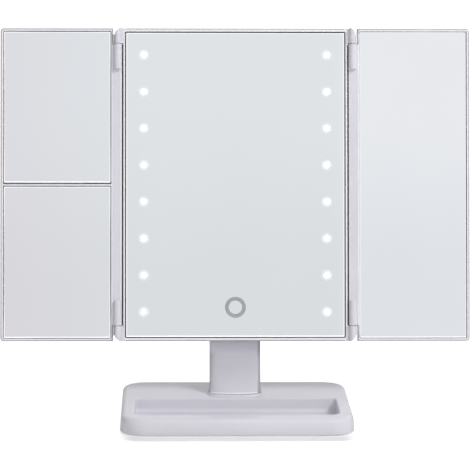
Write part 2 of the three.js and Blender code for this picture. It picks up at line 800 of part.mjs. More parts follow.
// Post behind a corner of the ledge that a housing screw bites into, fused with the ledge
function housingBoss(side, atTop) {
  const x = side * housingScrewX;
  const z = housingScrewZ(atTop);
  const post = rod(bossRadius, flat(x, ledgeFront + fuse, z), flat(x, panelDepth - bossShort, z), 10);
  const rimX = side * (centreHalf - centreRimSide / 2);
  const rimZ = atTop ? headHeight - centreRimEnd / 2 : centreRimEnd / 2;
  const depth = [ledgeFront + 2 * fuse, panelDepth - 2 * bossShort];
  const webSide = block(span(x, rimX), depth, aboutPoint(z, ribThickness / 2));
  const webEnd = block(aboutPoint(x, ribThickness / 2), depth, span(z, rimZ));
  return join(post, webSide, webEnd);
}

function housingScrewStart(side, atTop) {
  return flat(side * housingScrewX, panBack - seatGap, housingScrewZ(atTop));
}

function housingScrewRoom(side, atTop) {
  return screwRoom(housingScrewStart(side, atTop), towardsViewer, housingScrewLength);
}

// Heights of the lights in one column
function lightHeights() {
  return Array.from({ length: lightCount }, (_, i) => lightBottomInset + i * lightPitch);
}

function centreMirror() {
  const glass = panel(centreGlassX, centreGlassZ, [glassRecess, centreGlassBack], { corner: 0.8, steps: 2 });
  const holes = [];
  for (const side of [-1, 1]) {
    for (const z of lightHeights()) {
      const x = side * lightOffset;
      holes.push(rod(pipRadius + glassFit, flat(x, -past, z), flat(x, panelDepth, z), pipSides));
    }
  }
  return cut(glass, ...holes, ringForm(glassFit, glassRecess - past, glassRecess + ringDepth + seatGap));
}

// Flat ring round the touch point, between two depths
function ringForm(margin, front, back) {
  const outer = ringOuter + margin;
  const inner = ringInner - margin;
  const profile = [[inner, 0], [outer, 0], [outer, back - front], [inner, back - front], [inner, 0]];
  return turned(profile, flat(0, front, ringHeight), alongY, 28);
}

// Light strip: one milky bar behind the glass with a round window that fills each hole
function lightStrip(side) {
  const x = aboutPoint(side * lightOffset, stripWidth / 2);
  const z = [lightBottomInset - stripEnd, headHeight - lightTopInset + stripEnd];
  const bar = panel(x, z, [ledgeFront, stripBack], { corner: 1.5, steps: 2 });
  const pipEnd = (depth, height) => flat(side * lightOffset, depth, height);
  const pips = lightHeights().map((height) => (
    rod(pipRadius, pipEnd(glassRecess, height), pipEnd(ledgeFront + fuse, height), pipSides)
  ));
  return join(bar, ...pips);
}

// Circuit strip behind the light strip, with one lamp chip behind each window
function lightBoard(side) {
  const x = aboutPoint(side * lightOffset, stripWidth / 2 - boardMargin);
  const z = [lightBottomInset - stripEnd, headHeight - lightTopInset + stripEnd];
  const board = block(x, [boardFront, boardBack], z);
  const chips = lightHeights().map((height) => block(
    aboutPoint(side * lightOffset, ledSize / 2),
    [ledFront, boardFront + chipSeat],
    aboutPoint(height, ledSize / 2),
  ));
  return join(board, ...chips);
}

// Control board with its touch chip and a lamp driver, behind the lower part of the glass
function controlBoard() {
  const board = block([boardLeft, boardRight], [boardFront, boardBack], aboutPoint(ringHeight, boardHalfHeight));
  const depth = [boardFront - chipHeight, boardFront + chipSeat];
  const chip = (x, size) => block(aboutPoint(x, size / 2), depth, aboutPoint(ringHeight, size / 2));
  return join(board, chip(touchChipX, touchChipSize), chip(driverChipX, driverChipSize));
}

// Copper disc that senses a finger through the glass
function touchPlate() {
  return rod(ringOuter, flat(0, ledgeFront, ringHeight), flat(0, boardFront - seatGap, ringHeight), 20);
}

// Charging socket: a metal sleeve that opens at the back of the head
function chargingSocket() {
  const y = [boardBack + seatGap, panBack - seatGap];
  const sleeve = panel(
    aboutPoint(socketX, socketWidth / 2),
    aboutPoint(ringHeight, socketHeight / 2),
    y,
    { corner: 0.9, steps: 2 },
  );
  const mouth = panel(
    aboutPoint(socketX, socketWidth / 2 - socketWall),
    aboutPoint(ringHeight, socketHeight / 2 - socketWall),
    [y[0] + socketFloor, y[1] + past],
    { corner: 0.5, steps: 2 },
  );
  const tongue = block(
    aboutPoint(socketX, socketWidth / 2 - tongueInset),
    [y[0] + socketFloor / 2, y[1] - tongueShort],
    aboutPoint(ringHeight, tongueThickness / 2),
  );
  return join(cut(sleeve, mouth), tongue);
}

// Rear housing: a shallow pan, a thicker middle with the battery bay, and ears for the tilt axle
function rearHousing() {
  const pan = panel(aboutMiddle(panHalf), [0, headHeight], [panFront, panBack], { corner: panelCorner, back: panEdge });
  const bulgeLevels = roundedLevels([panBack - panEdge, bulgeBack], 0, bulgeEdge, 4);
  const bulge = stack(aboutMiddle(bulgeHalfWidth), [0, bulgeHeight], bulgeLevels, 6, 4, upright);
  const inside = panel(
    aboutMiddle(panHalf - wall),
    [wall, headHeight - wall],
    [panFront - past, panBack - wall],
    { corner: 1.5, steps: 2 },
  );
  const insideBack = bulgeBack - bulgeEdge;
  const bayBox = block(
    aboutMiddle(bayHalf + wall),
    [bayFront - wall, insideBack],
    [bayBottom - wall, bayTop + wall],
  );
  const earBox = block(aboutMiddle(earHalf), [slotFront - wall, insideBack], [wall - fuse, slotTop + wall]);
  const sides = [-1, 1].map((side) => block(
    span(side * (bayHalf + wall), side * (bulgeHalfWidth - wall)),
    [panBack - 2 * wall, insideBack],
    [slotTop + 2 * wall, bulgeHeight - bulgeEdge],
  ));
  const shell = cut(join(pan, bulge), inside, ...sides);
  const whole = join(shell, bayBox, earBox, ...boardRails(), ...socketWalls());
  return cut(whole, ...housingCuts());
}

// Pairs of upright ribs that each light board lies on
function boardRails() {
  const rails = [];
  const end = housingScrewInset + bossRadius + railShort;
  for (const side of [-1, 1]) {
    for (const edge of [-1, 1]) {
      const x = side * lightOffset + edge * (stripWidth / 2 - railInset);
      const depth = [boardBack + seatGap, panBack - wall + fuse];
      rails.push(block(aboutPoint(x, ribThickness / 2), depth, [end, headHeight - end]));
    }
  }
  return rails;
}

// Ribs above and below the charging socket
function socketWalls() {
  return [-1, 1].map((side) => {
    const z = ringHeight + side * (socketHeight / 2 + seatGap + ribThickness / 2);
    const depth = [boardBack + seatGap, panBack - wall + fuse];
    return block(aboutPoint(socketX, socketWidth / 2), depth, aboutPoint(z, ribThickness / 2));
  });
}

function housingCuts() {
  const slot = block(aboutMiddle(slotHalf), [slotFront, bulgeBack + past], [-past, slotTop]);
  const bayDepth = [bayFront, bulgeBack + past];
  const bay = panel(aboutMiddle(bayHalf), [bayBottom, bayTop], bayDepth, { corner: 1, steps: 2 });
  const rebate = panel(
    aboutMiddle(bayHalf + coverOverlap),
    [bayBottom - coverOverlap, bayTop + coverOverlap],
    [bayBack, bulgeBack + past],
    { corner: 3, steps: 3 },
  );
  const axle = rod(axleRadius + seatGap, pivotPoint(-headHalf / 2), pivotPoint(headHalf / 2), 20);
  const capRooms = [-1, 1].map((side) => rod(
    capRadius + seatGap,
    pivotPoint(side * (earHalf + seatGap)),
    pivotPoint(side * (bulgeHalfWidth + past)),
    20,
  ));
  const socketHole = panel(
    aboutPoint(socketX, socketWidth / 2 + seatGap),
    aboutPoint(ringHeight, socketHeight / 2 + seatGap),
    [panFront, panBack + past],
    { corner: 1, steps: 2 },
  );
  const screws = [];
  for (const side of [-1, 1]) {
    for (const atTop of [false, true]) screws.push(housingScrewRoom(side, atTop));
  }
  return [slot, neckRoom(), bay, rebate, axle, ...capRooms, socketHole, ...screws];
}

// Wedge below the slot that the neck moves into when the head tips forward
function neckRoom() {
  const corners = [[slotFront + past, slotTop / 2], [panFront - seatGap, -past], [slotFront + past, -past]];
  return ringLoft([-slotHalf, slotHalf].map((x) => corners.map(([y, z]) => flat(x, y, z))));
}

const pivotPoint = (x) => flat(x, pivotDepth, pivotHeight);

// Plug that closes the end of the axle's bore
function axleCap(side) {
  const start = pivotPoint(side * (earHalf + 2 * seatGap));
  const length = bulgeHalfWidth - earHalf - 2 * seatGap;
  const profile = [
    [0, 0],
    [capRadius, 0],
    [capRadius, length - capEdge],
    [capRadius - capEdge, length],
    [0, length],
  ];
  return turned(profile, start, flat(side, 0, 0), 20);
}

// Battery cover with short grip lines near its upper edge
function batteryCover() {
  const half = bayHalf + coverOverlap - seatGap;
  const z = [bayBottom - coverOverlap + seatGap, bayTop + coverOverlap - seatGap];
  const y = [bulgeBack - coverThickness, bulgeBack];
  const plate = panel(aboutMiddle(half), z, y, { corner: 2.7, back: 0.5, steps: 3 });
  const grips = [];
  for (let i = 0; i < gripCount; i += 1) {
    const height = z[1] - gripInset - i * gripPitch;
    const depth = [bulgeBack - gripDepth, bulgeBack + past];
    grips.push(block(aboutMiddle(gripHalfLength - i * gripStep), depth, aboutPoint(height, gripWidth / 2)));
  }
  return cut(plate, ...grips);
}

const cellX = (index) => (index - (cellCount - 1) / 2) * cellPitch;

// One battery cell: the wrapped can and the small contact button on its upper or lower end
function batteryCell(index) {
  const up = index % 2 === 0 ? 1 : -1;
  const middle = bayBottom + bayLength / 2;
  const start = flat(cellX(index), bayFront + seatGap + cellRadius, middle - (up * cellLength) / 2);
  const can = cellLength - cellButtonHeight;
  const profile = [
    [0, 0],
    [cellRadius - cellEdge, 0],
    [cellRadius, cellEdge],
    [cellRadius, can - cellEdge],
    [cellRadius - cellEdge, can],
    [cellButtonRadius, can],
    [cellButtonRadius, cellLength],
    [0, cellLength],
  ];
  return turned(profile, start, flat(0, 0, up), 12);
}

// Contact plate at one end of the bay, with a cone spring for every second cell
function contactPlate(atTop) {
  const inward = atTop ? -1 : 1;
  const end = (atTop ? bayTop : bayBottom) + inward * seatGap;
  const y = [bayFront + seatGap, bayFront + seatGap + 2 * cellRadius - contactShort];
  const plate = block(aboutMiddle(bayHalf - seatGap), y, span(end, end + inward * contactThickness));
  const length = (bayLength - cellLength) / 2 - 3 * seatGap;
  const contacts = [];
  for (let index = 0; index < cellCount; index += 1) {
    const springHere = (index % 2 === 0) !== atTop;
    const base = springHere ? springBase : studBase;
    const tip = springHere ? springTip : studTip;
    const start = flat(cellX(index), bayFront + seatGap + cellRadius, end);
    contacts.push(turned([[0, 0], [base, 0], [tip, length], [0, length]], start, flat(0, 0, inward), 12));
  }
  return join(plate, ...contacts);
}

// Wings

// Height ranges of the glasses in a wing: two for the left wing, one for the right
function wingGlassRanges(side) {
  const low = wingRim;
  const high = headHeight - wingRim;
  const middle = headHeight / 2;
  if (side > 0) return [[low, high]];
  return [[low, middle - mirrorRib / 2], [middle + mirrorRib / 2, high]];
}

// Depth by which a concave glass lies deeper at the middle of its long edges than at its corners
function edgeSag(range, radius) {
  return ((range[1] - range[0]) / 2) ** 2 / (2 * radius);
}

function wingLedge(side) {
  const flatLedge = glassRecess + wingGlassThickness + seatGap;
  if (side > 0) return flatLedge;
  return flatLedge + edgeSag(wingGlassRanges(side)[0], lowerMirrorRadius);
}

// Heights from just beyond the head's lower or upper end to a distance inside it
const endSpan = (atTop, inside) => (
  atTop ? [headHeight - inside, headHeight + past] : [-past, inside]
);

function wingFrame(side) {
  const x = span(side * wingInner, side * headHalf);
  const plate = panel(x, [0, headHeight], [0, panelDepth], { corner: panelCorner, front: panelEdge });
  const glassX = span(side * wingGlassInner, side * wingGlassOuter);
  const ledge = wingLedge(side);
  const cuts = [];
  for (const range of wingGlassRanges(side)) {
    cuts.push(panel(glassX, range, [-past, ledge], { corner: 0.8, steps: 2 }));
    const openX = [glassX[0] + ledgeWidth, glassX[1] - ledgeWidth];
    const openZ = [range[0] + ledgeWidth, range[1] - ledgeWidth];
    cuts.push(panel(openX, openZ, [0, panelDepth + past], { corner: 2, steps: 2 }));
  }
  cuts.push(wingBackRoom(side));
  for (const atTop of [false, true]) {
    const inner = side * (wingInner - past);
    const notchX = span(inner, side * notchEdge);
    const lugRoomX = span(inner, side * lugRoomEdge);
    cuts.push(block(notchX, [-past, notchStep], endSpan(atTop, barrelStart)));
    cuts.push(block(lugRoomX, [-past, panelDepth - notchWeb], endSpan(atTop, barrelStart)));
    cuts.push(block(notchX, [-past, panelDepth + past], endSpan(atTop, notchMouth)));
  }
  const barrels = [false, true].map((atTop) => wingBarrel(side, atTop));
  const pins = [false, true].map((atTop) => hingePin(side, atTop, pinHole));
  return cut(join(cut(plate, ...cuts), ...barrels), ...pins);
}

// Round knuckle on the wing beside each lug
function wingBarrel(side, atTop) {
  const low = atTop ? headHeight - barrelStart - barrelLength : barrelStart;
  return rod(barrelRadius, hingePoint(side, low), hingePoint(side, low + barrelLength), 20);
}

// Form between two depths on a wing's back, shrunk by a margin on its edges
function wingBackForm(side, margin, depth, edge) {
  const x = span(side * (wingGlassInner + margin), side * (wingGlassOuter + wingBackRebate - margin));
  const z = [wingRim + margin, headHeight - wingRim - margin];
  return panel(x, z, depth, { corner: 1.5, back: edge, steps: 2 });
}

const wingBack = (side) => (
  wingBackForm(side, seatGap, [panelDepth - wingBackThickness, panelDepth], wingBackEdge)
);

const wingBackRoom = (side) => (
  wingBackForm(side, 0, [panelDepth - wingBackThickness - seatGap, panelDepth + past], 0)
);

// Concave glass: the front is a shallow bowl, deepest in the middle, and the back follows it
function concaveMirror(x, z, radius) {
  const columns = 6;
  const rows = 8;
  const middleX = (x[0] + x[1]) / 2;
  const middleZ = (z[0] + z[1]) / 2;
  const corner = ((x[1] - x[0]) / 2) ** 2 + ((z[1] - z[0]) / 2) ** 2;
  const points = [];
  for (const back of [0, 1]) {
    for (let row = 0; row <= rows; row += 1) {
      for (let column = 0; column <= columns; column += 1) {
        const px = THREE.MathUtils.lerp(x[0], x[1], column / columns);
        const pz = THREE.MathUtils.lerp(z[0], z[1], row / rows);
        const sag = (corner - (px - middleX) ** 2 - (pz - middleZ) ** 2) / (2 * radius);
        points.push(flat(px, glassRecess + sag + back * wingGlassThickness, pz));
      }
    }
  }
  const triangles = gridTriangles(columns, rows);
  const geometry = new THREE.BufferGeometry();
  geometry.setAttribute('position', new THREE.Float32BufferAttribute(points.flatMap((p) => p.toArray()), 3));
  geometry.setIndex(signedVolume(points, triangles) < 0 ? turnedOver(triangles) : triangles);
  return solidFrom(geometry);
}

// Triangles of two equal point grids, one behind the other, joined round their border
function gridTriangles(columns, rows) {
  const across = columns + 1;
  const layer = across * (rows + 1);
  const triangles = [];
  for (let row = 0; row < rows; row += 1) {
    for (let column = 0; column < columns; column += 1) {
      const a = row * across + column;
      const b = a + 1;
      const c = a + across;
      const d = c + 1;
      triangles.push(a, b, d, a, d, c);
      triangles.push(layer + a, layer + d, layer + b, layer + a, layer + c, layer + d);
    }
  }
  const border = [];
  for (let column = 0; column < columns; column += 1) border.push(column);
  for (let row = 0; row < rows; row += 1) border.push(row * across + columns);
  for (let column = columns; column > 0; column -= 1) border.push(rows * across + column);
  for (let row = rows; row > 0; row -= 1) border.push(row * across);
  border.forEach((a, i) => {
    const b = border[(i + 1) % border.length];
    triangles.push(a, layer + b, b, a, layer + a, layer + b);
  });
  return triangles;
}

function wingGlassX(side) {
  return span(side * (wingGlassInner + glassFit), side * (wingGlassOuter - glassFit));
}

const withFit = ([low, high]) => [low + glassFit, high - glassFit];

// Pieces of the stand
addPiece(root, 'base_shell', baseShell(), whitePlastic);
addPiece(root, 'base_plate', basePlate(), whitePlastic);
addPiece(root, 'ballast_plate', ballastPlate(), steel);
addPiece(root, 'foot_front_left', foot(-footX, -footY), softRubber);
addPiece(root, 'foot_front_right', foot(footX, -footY), softRubber);
addPiece(root, 'foot_rear_left', foot(-footX, footY), softRubber);
addPiece(root, 'foot_rear_right', foot(footX, footY), softRubber);
screwPlaces.forEach((place, i) => {
  addPiece(root, `base_screw_${i + 1}`, screw(baseScrewStart(place), alongZ, baseScrewLength), steel);
});

// Pieces of the neck
addPiece(root, 'neck_front', neckFront(), whitePlastic);
addPiece(root, 'neck_cover', neckCover(), whitePlastic);
[-1, 1].forEach((side) => {
  const word = side < 0 ? 'left' : 'right';
  addPiece(root, `neck_screw_${word}`, screw(neckScrewStart(side), alongZ, neckScrewLength), steel);
  addPiece(root, `friction_washer_${word}`, frictionWasher(side), springSteel);
});
coverScrewShares.forEach((share, i) => {
  const body = screw(coverScrewStart(share), neckNormal(share).negate(), coverScrewLength);
  addPiece(root, `cover_screw_${i === 0 ? 'lower' : 'upper'}`, body, steel);
});
const axleEnd = (side) => flat(side * earHalf, pivot.y, pivot.z);
addPiece(root, 'tilt_axle', rod(axleRadius, axleEnd(-1), axleEnd(1), 20), steel);

// Pieces of the centre panel
addPiece(head, 'centre_frame', centreFrame(), whitePlastic);
addPiece(head, 'centre_mirror', centreMirror(), mirrorGlass);
addPiece(head, 'touch_ring', ringForm(0, glassRecess, glassRecess + ringDepth), ringGrey);
addPiece(head, 'touch_plate', touchPlate(), copper);
addPiece(head, 'control_board', controlBoard(), greenBoard);
addPiece(head, 'charging_socket', chargingSocket(), socketMetal);
addPiece(head, 'rear_housing', rearHousing(), whitePlastic);
addPiece(head, 'battery_cover', batteryCover(), whitePlastic);
addPiece(head, 'contact_plate_upper', contactPlate(true), springSteel);
addPiece(head, 'contact_plate_lower', contactPlate(false), springSteel);
for (let index = 0; index < cellCount; index += 1) {
  addPiece(head, `battery_cell_${index + 1}`, batteryCell(index), cellWrap);
}
for (const side of [-1, 1]) {
  const word = side < 0 ? 'left' : 'right';
  addPiece(head, `light_strip_${word}`, lightStrip(side), milkyPlastic);
  addPiece(head, `light_board_${word}`, lightBoard(side), greenBoard);
  addPiece(head, `axle_cap_${word}`, axleCap(side), whitePlastic);
  for (const atTop of [false, true]) {
    const place = `${atTop ? 'upper' : 'lower'}_${word}`;
    addPiece(head, `hinge_pin_${place}`, hingePin(side, atTop, 0), steel);
    const start = housingScrewStart(side, atTop);
    addPiece(head, `housing_screw_${place}`, screw(start, towardsViewer, housingScrewLength), steel);
  }
}

// Pieces of the wings
for (const side of [-1, 1]) {
  const word = side < 0 ? 'left' : 'right';
  addPiece(head, `${word}_wing_frame`, wingFrame(side), whitePlastic);
  addPiece(head, `${word}_wing_back`, wingBack(side), whitePlastic);
}
const [lowerRange, upperRange] = wingGlassRanges(-1).map(withFit);
const upperMirror = concaveMirror(wingGlassX(-1), upperRange, upperMirrorRadius);
const lowerMirror = concaveMirror(wingGlassX(-1), lowerRange, lowerMirrorRadius);
addPiece(head, 'upper_magnifying_mirror', upperMirror, mirrorGlass);
addPiece(head, 'lower_magnifying_mirror', lowerMirror, mirrorGlass);
const [rightRange] = wingGlassRanges(1).map(withFit);
const rightDepth = [glassRecess, glassRecess + wingGlassThickness];
const rightMirror = panel(wingGlassX(1), rightRange, rightDepth, { corner: 0.8, steps: 2 });
addPiece(head, 'right_mirror', rightMirror, mirrorGlass);

// The origin is the middle of the whole mirror's outline on the table
root.updateMatrixWorld(true);
const outline = new THREE.Box3().setFromObject(root, true);
root.position.y = -(outline.min.y + outline.max.y) / 2;

export default root;
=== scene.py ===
import json
import math

import bmesh
import bpy
import numpy as np
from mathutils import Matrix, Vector

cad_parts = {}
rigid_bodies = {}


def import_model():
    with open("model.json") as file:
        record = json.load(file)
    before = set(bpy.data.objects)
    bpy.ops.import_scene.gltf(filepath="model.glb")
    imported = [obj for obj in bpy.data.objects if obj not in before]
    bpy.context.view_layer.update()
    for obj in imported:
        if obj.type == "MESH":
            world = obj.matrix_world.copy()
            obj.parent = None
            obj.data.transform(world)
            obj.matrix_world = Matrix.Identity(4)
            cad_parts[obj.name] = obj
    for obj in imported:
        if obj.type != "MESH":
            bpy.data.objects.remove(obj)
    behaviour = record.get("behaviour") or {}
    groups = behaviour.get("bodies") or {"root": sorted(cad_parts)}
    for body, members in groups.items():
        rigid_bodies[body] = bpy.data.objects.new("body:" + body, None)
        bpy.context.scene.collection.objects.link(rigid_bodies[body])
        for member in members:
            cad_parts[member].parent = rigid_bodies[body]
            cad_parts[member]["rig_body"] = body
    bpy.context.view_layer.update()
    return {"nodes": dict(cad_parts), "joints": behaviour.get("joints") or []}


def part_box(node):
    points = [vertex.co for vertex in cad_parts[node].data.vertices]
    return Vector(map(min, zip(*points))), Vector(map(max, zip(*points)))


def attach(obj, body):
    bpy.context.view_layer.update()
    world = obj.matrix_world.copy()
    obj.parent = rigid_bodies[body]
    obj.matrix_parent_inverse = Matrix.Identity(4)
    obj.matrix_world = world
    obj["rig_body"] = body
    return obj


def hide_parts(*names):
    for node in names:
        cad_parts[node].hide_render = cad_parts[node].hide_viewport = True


# Looks for a lighted three-panel mirror on a tray stand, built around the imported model.
# Sizes are in millimetres, and meshes are written in metres.
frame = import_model()
mm = 0.001
seatGap = 0.3  # between pieces that touch
print("stage: frame loaded")

# Places: the stand stands upright, and the head leans back on its own axes.
jointNamed = {joint["name"]: joint for joint in frame["joints"]}
foldJoint = jointNamed["right_wing_fold"]
headPlace = {"hingeAcross": 86.5, "hingeForward": 1.0, "halfHeight": 115.0}
lean = math.atan2(-foldJoint["axis"][1], -foldJoint["axis"][2])
leanTurn = np.array([
    [1, 0, 0],
    [0, math.cos(lean), math.sin(lean)],
    [0, -math.sin(lean), math.cos(lean)],
])
hingeMiddle = np.array([headPlace["hingeAcross"], -headPlace["hingeForward"], headPlace["halfHeight"]])
headOrigin = np.array(foldJoint["pos_m"]) / mm - leanTurn @ hingeMiddle
plateLow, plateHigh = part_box("base_plate")
standOrigin = np.array([0, (plateLow.y + plateHigh.y) / 2 / mm, 0])
pivotPoint = np.array(jointNamed["head_tilt"]["pos_m"]) / mm
upright = np.array([0, 0, 1.0])
headBack, headUp = leanTurn @ [0, 1, 0], leanTurn @ upright


def onHead(across, depth, height):
    # Head axes to the row frame: turned back by the lean, then moved to the head's lower front edge.
    across, depth, height = np.broadcast_arrays(across, depth, height)
    return np.stack([across, depth, height], -1) @ leanTurn.T + headOrigin


def onStand(across, depth, height):
    # Stand axes to the row frame: only moved, so that the stand's middle is its origin.
    across, depth, height = np.broadcast_arrays(across, depth, height)
    return np.stack([across, depth, height], -1) + standOrigin


def addObject(name, data):
    # Puts a mesh, a lamp or the camera into the scene.
    thing = bpy.data.objects.new(name, data)
    bpy.context.scene.collection.objects.link(thing)
    return thing


# Camera: found from the outlines of the head and the stand in the picture. It stands left of the middle and
# looks slightly to its right.
cameraPlace = {
    "at": (-48.965, -1639.186, 419.032),
    "turn": (80.139, -0.178, -1.02),  # degrees
    "focalPixels": 2295.51,
    "axisAcross": 210.25,  # where the lens axis meets the picture, in pixels from its left edge
    "framePixels": 470,
    "sensor": 36,
    "clipStart": 10,
}


def makeCamera(place):
    # The lens is the focal length as a share of the frame, times the sensor's width.
    data = bpy.data.cameras.new("photoCamera")
    data.sensor_width = place["sensor"]
    data.lens = place["focalPixels"] / place["framePixels"] * place["sensor"]
    data.shift_x = 0.5 - place["axisAcross"] / place["framePixels"]
    data.clip_start = place["clipStart"] * mm
    camera = bpy.context.scene.camera = addObject("photoCamera", data)
    camera.location = Vector(place["at"]) * mm
    camera.rotation_euler = [math.radians(angle) for angle in place["turn"]]


makeCamera(cameraPlace)
print("stage: camera")

# Finishes


def tone(red, green, blue):
    # Screen colour, 0 to 255, as the linear colour that a shader takes.
    level = np.array([red, green, blue]) / 255
    linear = np.where(level > 0.04045, ((level + 0.055) / 1.055) ** 2.4, level / 12.92)
    return (*linear.tolist(), 1)


noiseRange = (0.3, 0.7)  # where nearly all of a noise lies


def setSockets(node, values):
    # An output is linked to its socket, and a number or a colour is set on it.
    for key, value in values.items():
        if isinstance(value, bpy.types.NodeSocket):
            node.id_data.links.new(value, node.inputs[key])
        else:
            node.inputs[key].default_value = value
    return node


def addNode(source, kind, **settings):
    # A node in the same tree as the output that it comes after.
    node = source.id_data.nodes.new(kind)
    for key, value in settings.items():
        if hasattr(node, key):
            setattr(node, key, value)
        else:
            setSockets(node, {key: value})
    return node


def mathNode(operation, *values, clamp=False):
    # One step of arithmetic on outputs and numbers, of which at least one is an output.
    source = next(value for value in values if isinstance(value, bpy.types.NodeSocket))
    node = addNode(source, "ShaderNodeMath", operation=operation, use_clamp=clamp)
    return setSockets(node, dict(enumerate(values))).outputs[0]


def plus(first, second, clamp=False):
    return mathNode("ADD", first, second, clamp=clamp)


def minus(first, second, clamp=False):
    return mathNode("SUBTRACT", first, second, clamp=clamp)


def times(first, second):
    return mathNode("MULTIPLY", first, second)


def absolute(value):
    return mathNode("ABSOLUTE", value)


def rangeNode(value, fromLow, fromHigh, toLow=0, toHigh=1, smooth=False):
    # Brings a value from one range to another, and keeps it within the second.
    node = addNode(value, "ShaderNodeMapRange", interpolation_type="SMOOTHSTEP" if smooth else "LINEAR")
    numbers = {"Value": value, "From Min": fromLow, "From Max": fromHigh, "To Min": toLow, "To Max": toHigh}
    return setSockets(node, numbers).outputs["Result"]


def mixColours(share, first, second):
    # Sockets 6 and 7 are the two colours, and output 2 is their mix.
    node = addNode(share, "ShaderNodeMix", data_type="RGBA")
    return setSockets(node, {0: share, 6: first, 7: second}).outputs[2]


def splitPlace(place):
    # The three parts of a place.
    return addNode(place, "ShaderNodeSeparateXYZ", Vector=place).outputs


def noiseNode(place, size, detail=2.0):
    # Soft noise whose lumps are about the given size in metres.
    return addNode(place, "ShaderNodeTexNoise", Vector=place, Scale=1 / size, Detail=detail).outputs["Fac"]


def driftNode(place, size, low, high):
    # The same noise, brought to a range.
    return rangeNode(noiseNode(place, size), *noiseRange, low, high)


def bandNode(value, low, high, soft):
    # 1 between the two limits and 0 outside them, with a soft step at each.
    past = rangeNode(value, low - soft, low + soft)
    return times(past, rangeNode(value, high - soft, high + soft, 1, 0))


def headPlaceNode(place):
    # Object place to head axes in millimetres: scaled, turned upright and moved to the head's origin.
    toHead = {"Scale": (1 / mm,) * 3, "Rotation": (lean, 0, 0), "Location": tuple(-(leanTurn.T @ headOrigin))}
    return splitPlace(addNode(place, "ShaderNodeMapping", Vector=place, **toHead).outputs[0])


finishes = {}


def newFinish(name):
    # A finish under its name: its shader, and the place on the object.
    material = finishes[name] = bpy.data.materials.new(name)
    material.use_nodes = True
    nodes = material.node_tree.nodes
    return nodes["Principled BSDF"], nodes.new("ShaderNodeTexCoord").outputs["Object"]


patchRange, grainDetail, grainHeight, coatRough = (0.35, 0.65), 3.0, 0.1, 0.05


def mottledFinish(name, look):
    # Two close tones that drift over a patch size, with a fine grain that lifts the surface and its gloss.
    # Where the look has ends, a third tone takes over far out to either side: painted shade on the end walls.
    shader, place = newFinish(name)
    patches = rangeNode(noiseNode(place, look["patch"]), *patchRange)
    colour = mixColours(patches, look["dark"], look["pale"])
    if "ends" in look:
        # ends: painted shade, a darker tone far out on either side
        apart = absolute(splitPlace(place)["X"])
        share = rangeNode(apart, look["endsFrom"], look["endsTo"], smooth=True)
        colour = mixColours(share, colour, look["ends"])
    grain = noiseNode(place, look["grain"], grainDetail)
    bumpHeight = look["grain"] * grainHeight
    bump = addNode(grain, "ShaderNodeBump", Strength=look["lift"], Distance=bumpHeight, Height=grain)
    setSockets(shader, {
        "Base Color": colour, "Roughness": rangeNode(grain, *noiseRange, *look["rough"]),
        "Normal": bump.outputs[0], "Metallic": look.get("metal", 0.0),
        "Specular IOR Level": look.get("shine", 0.5),
        "Coat Weight": look.get("coat", 0.0), "Coat Roughness": coatRough,
    })


def plainLook(dark, pale, patch, grain, rough, lift, **more):
    # The values that mottledFinish takes, with the two tones as a shader's colours.
    return {"dark": tone(*dark), "pale": tone(*pale), "patch": patch, "grain": grain, "rough": rough,
            "lift": lift, **more}


finishLooks = {
    # dark and pale tone, size of patches and of the grain in metres, roughness from and to, lift of the grain
    "whitePlastic": plainLook((217, 215, 223), (222, 220, 228), 0.09, 0.0025, (0.34, 0.38), 0.01),
    # the base's end walls take a darker tone: painted shade
    "basePlasticShadedEnds": plainLook((217, 215, 223), (222, 220, 228), 0.09, 0.0025, (0.34, 0.38), 0.01,
                             ends=tone(198, 196, 203), endsFrom=0.0795, endsTo=0.0828),
    # tray: a darker tone, painted shade in the recess, with a rougher grain
    "trayShadedPlastic": plainLook((212, 210, 218), (217, 215, 222), 0.03, 0.002, (0.4, 0.48), 0.02),
    # paler tone: painted highlight on the frames' front rims, beside the wing glasses and on the notch bars
    "paintedHighlightPlastic": plainLook((238, 237, 242), (242, 241, 246), 0.06, 0.0025, (0.32, 0.36), 0.01),
    "ribbedPlastic": plainLook((208, 206, 212), (214, 213, 218), 0.04, 0.0005, (0.3, 0.42), 0.2),
    "ringPrint": plainLook((158, 163, 166), (166, 171, 173), 0.004, 0.0003, (0.35, 0.5), 0.15),
    "softRubber": plainLook((205, 205, 208), (216, 216, 219), 0.005, 0.0004, (0.7, 0.9), 0.5, shine=0.25),
    "zincSteel": plainLook((186, 187, 190), (205, 206, 208), 0.004, 0.0003, (0.25, 0.42), 0.15, metal=1.0),
    "nickelSteel": plainLook((214, 213, 210), (228, 227, 223), 0.006, 0.0003, (0.14, 0.26), 0.08, metal=1.0),
    "castSteel": plainLook((128, 130, 133), (150, 152, 154), 0.01, 0.0008, (0.4, 0.6), 0.4, metal=1.0),
    "copperFoil": plainLook((201, 133, 98), (222, 155, 118), 0.003, 0.0003, (0.25, 0.4), 0.1, metal=1.0),
    "greenBoard": plainLook((24, 84, 54), (36, 104, 68), 0.003, 0.0004, (0.35, 0.5), 0.2),
    "cellWrap": plainLook((70, 80, 90), (84, 95, 106), 0.012, 0.0004, (0.25, 0.4), 0.1, metal=0.3, coat=0.4),
    "polishedBevel": plainLook((248, 250, 251), (253, 254, 254), 0.03, 0.0004, (0.04, 0.1), 0.01, metal=1.0),
    "softBevel": plainLook((234, 236, 240), (239, 240, 244), 0.03, 0.0004, (0.05, 0.12), 0.01, metal=1.0),
}
for name, look in finishLooks.items():
    mottledFinish(name, look)

edgeShadeLook = {
    # outer: painted shade on the edges; gap: painted highlight; slit: painted shade in the gap
    "outer": tone(178, 177, 183), "gap": tone(240, 239, 243), "slit": tone(168, 168, 173),
    "gapHighlightAt": (80.5, 86.0, 0.2), "slitShadeAt": (82.4, 83.5, 0.04),  # from and to, on either side, and softness
    "patch": 0.03, "drift": 0.15, "rough": (0.25, 0.35), "shine": (0.5, 0.0),
}


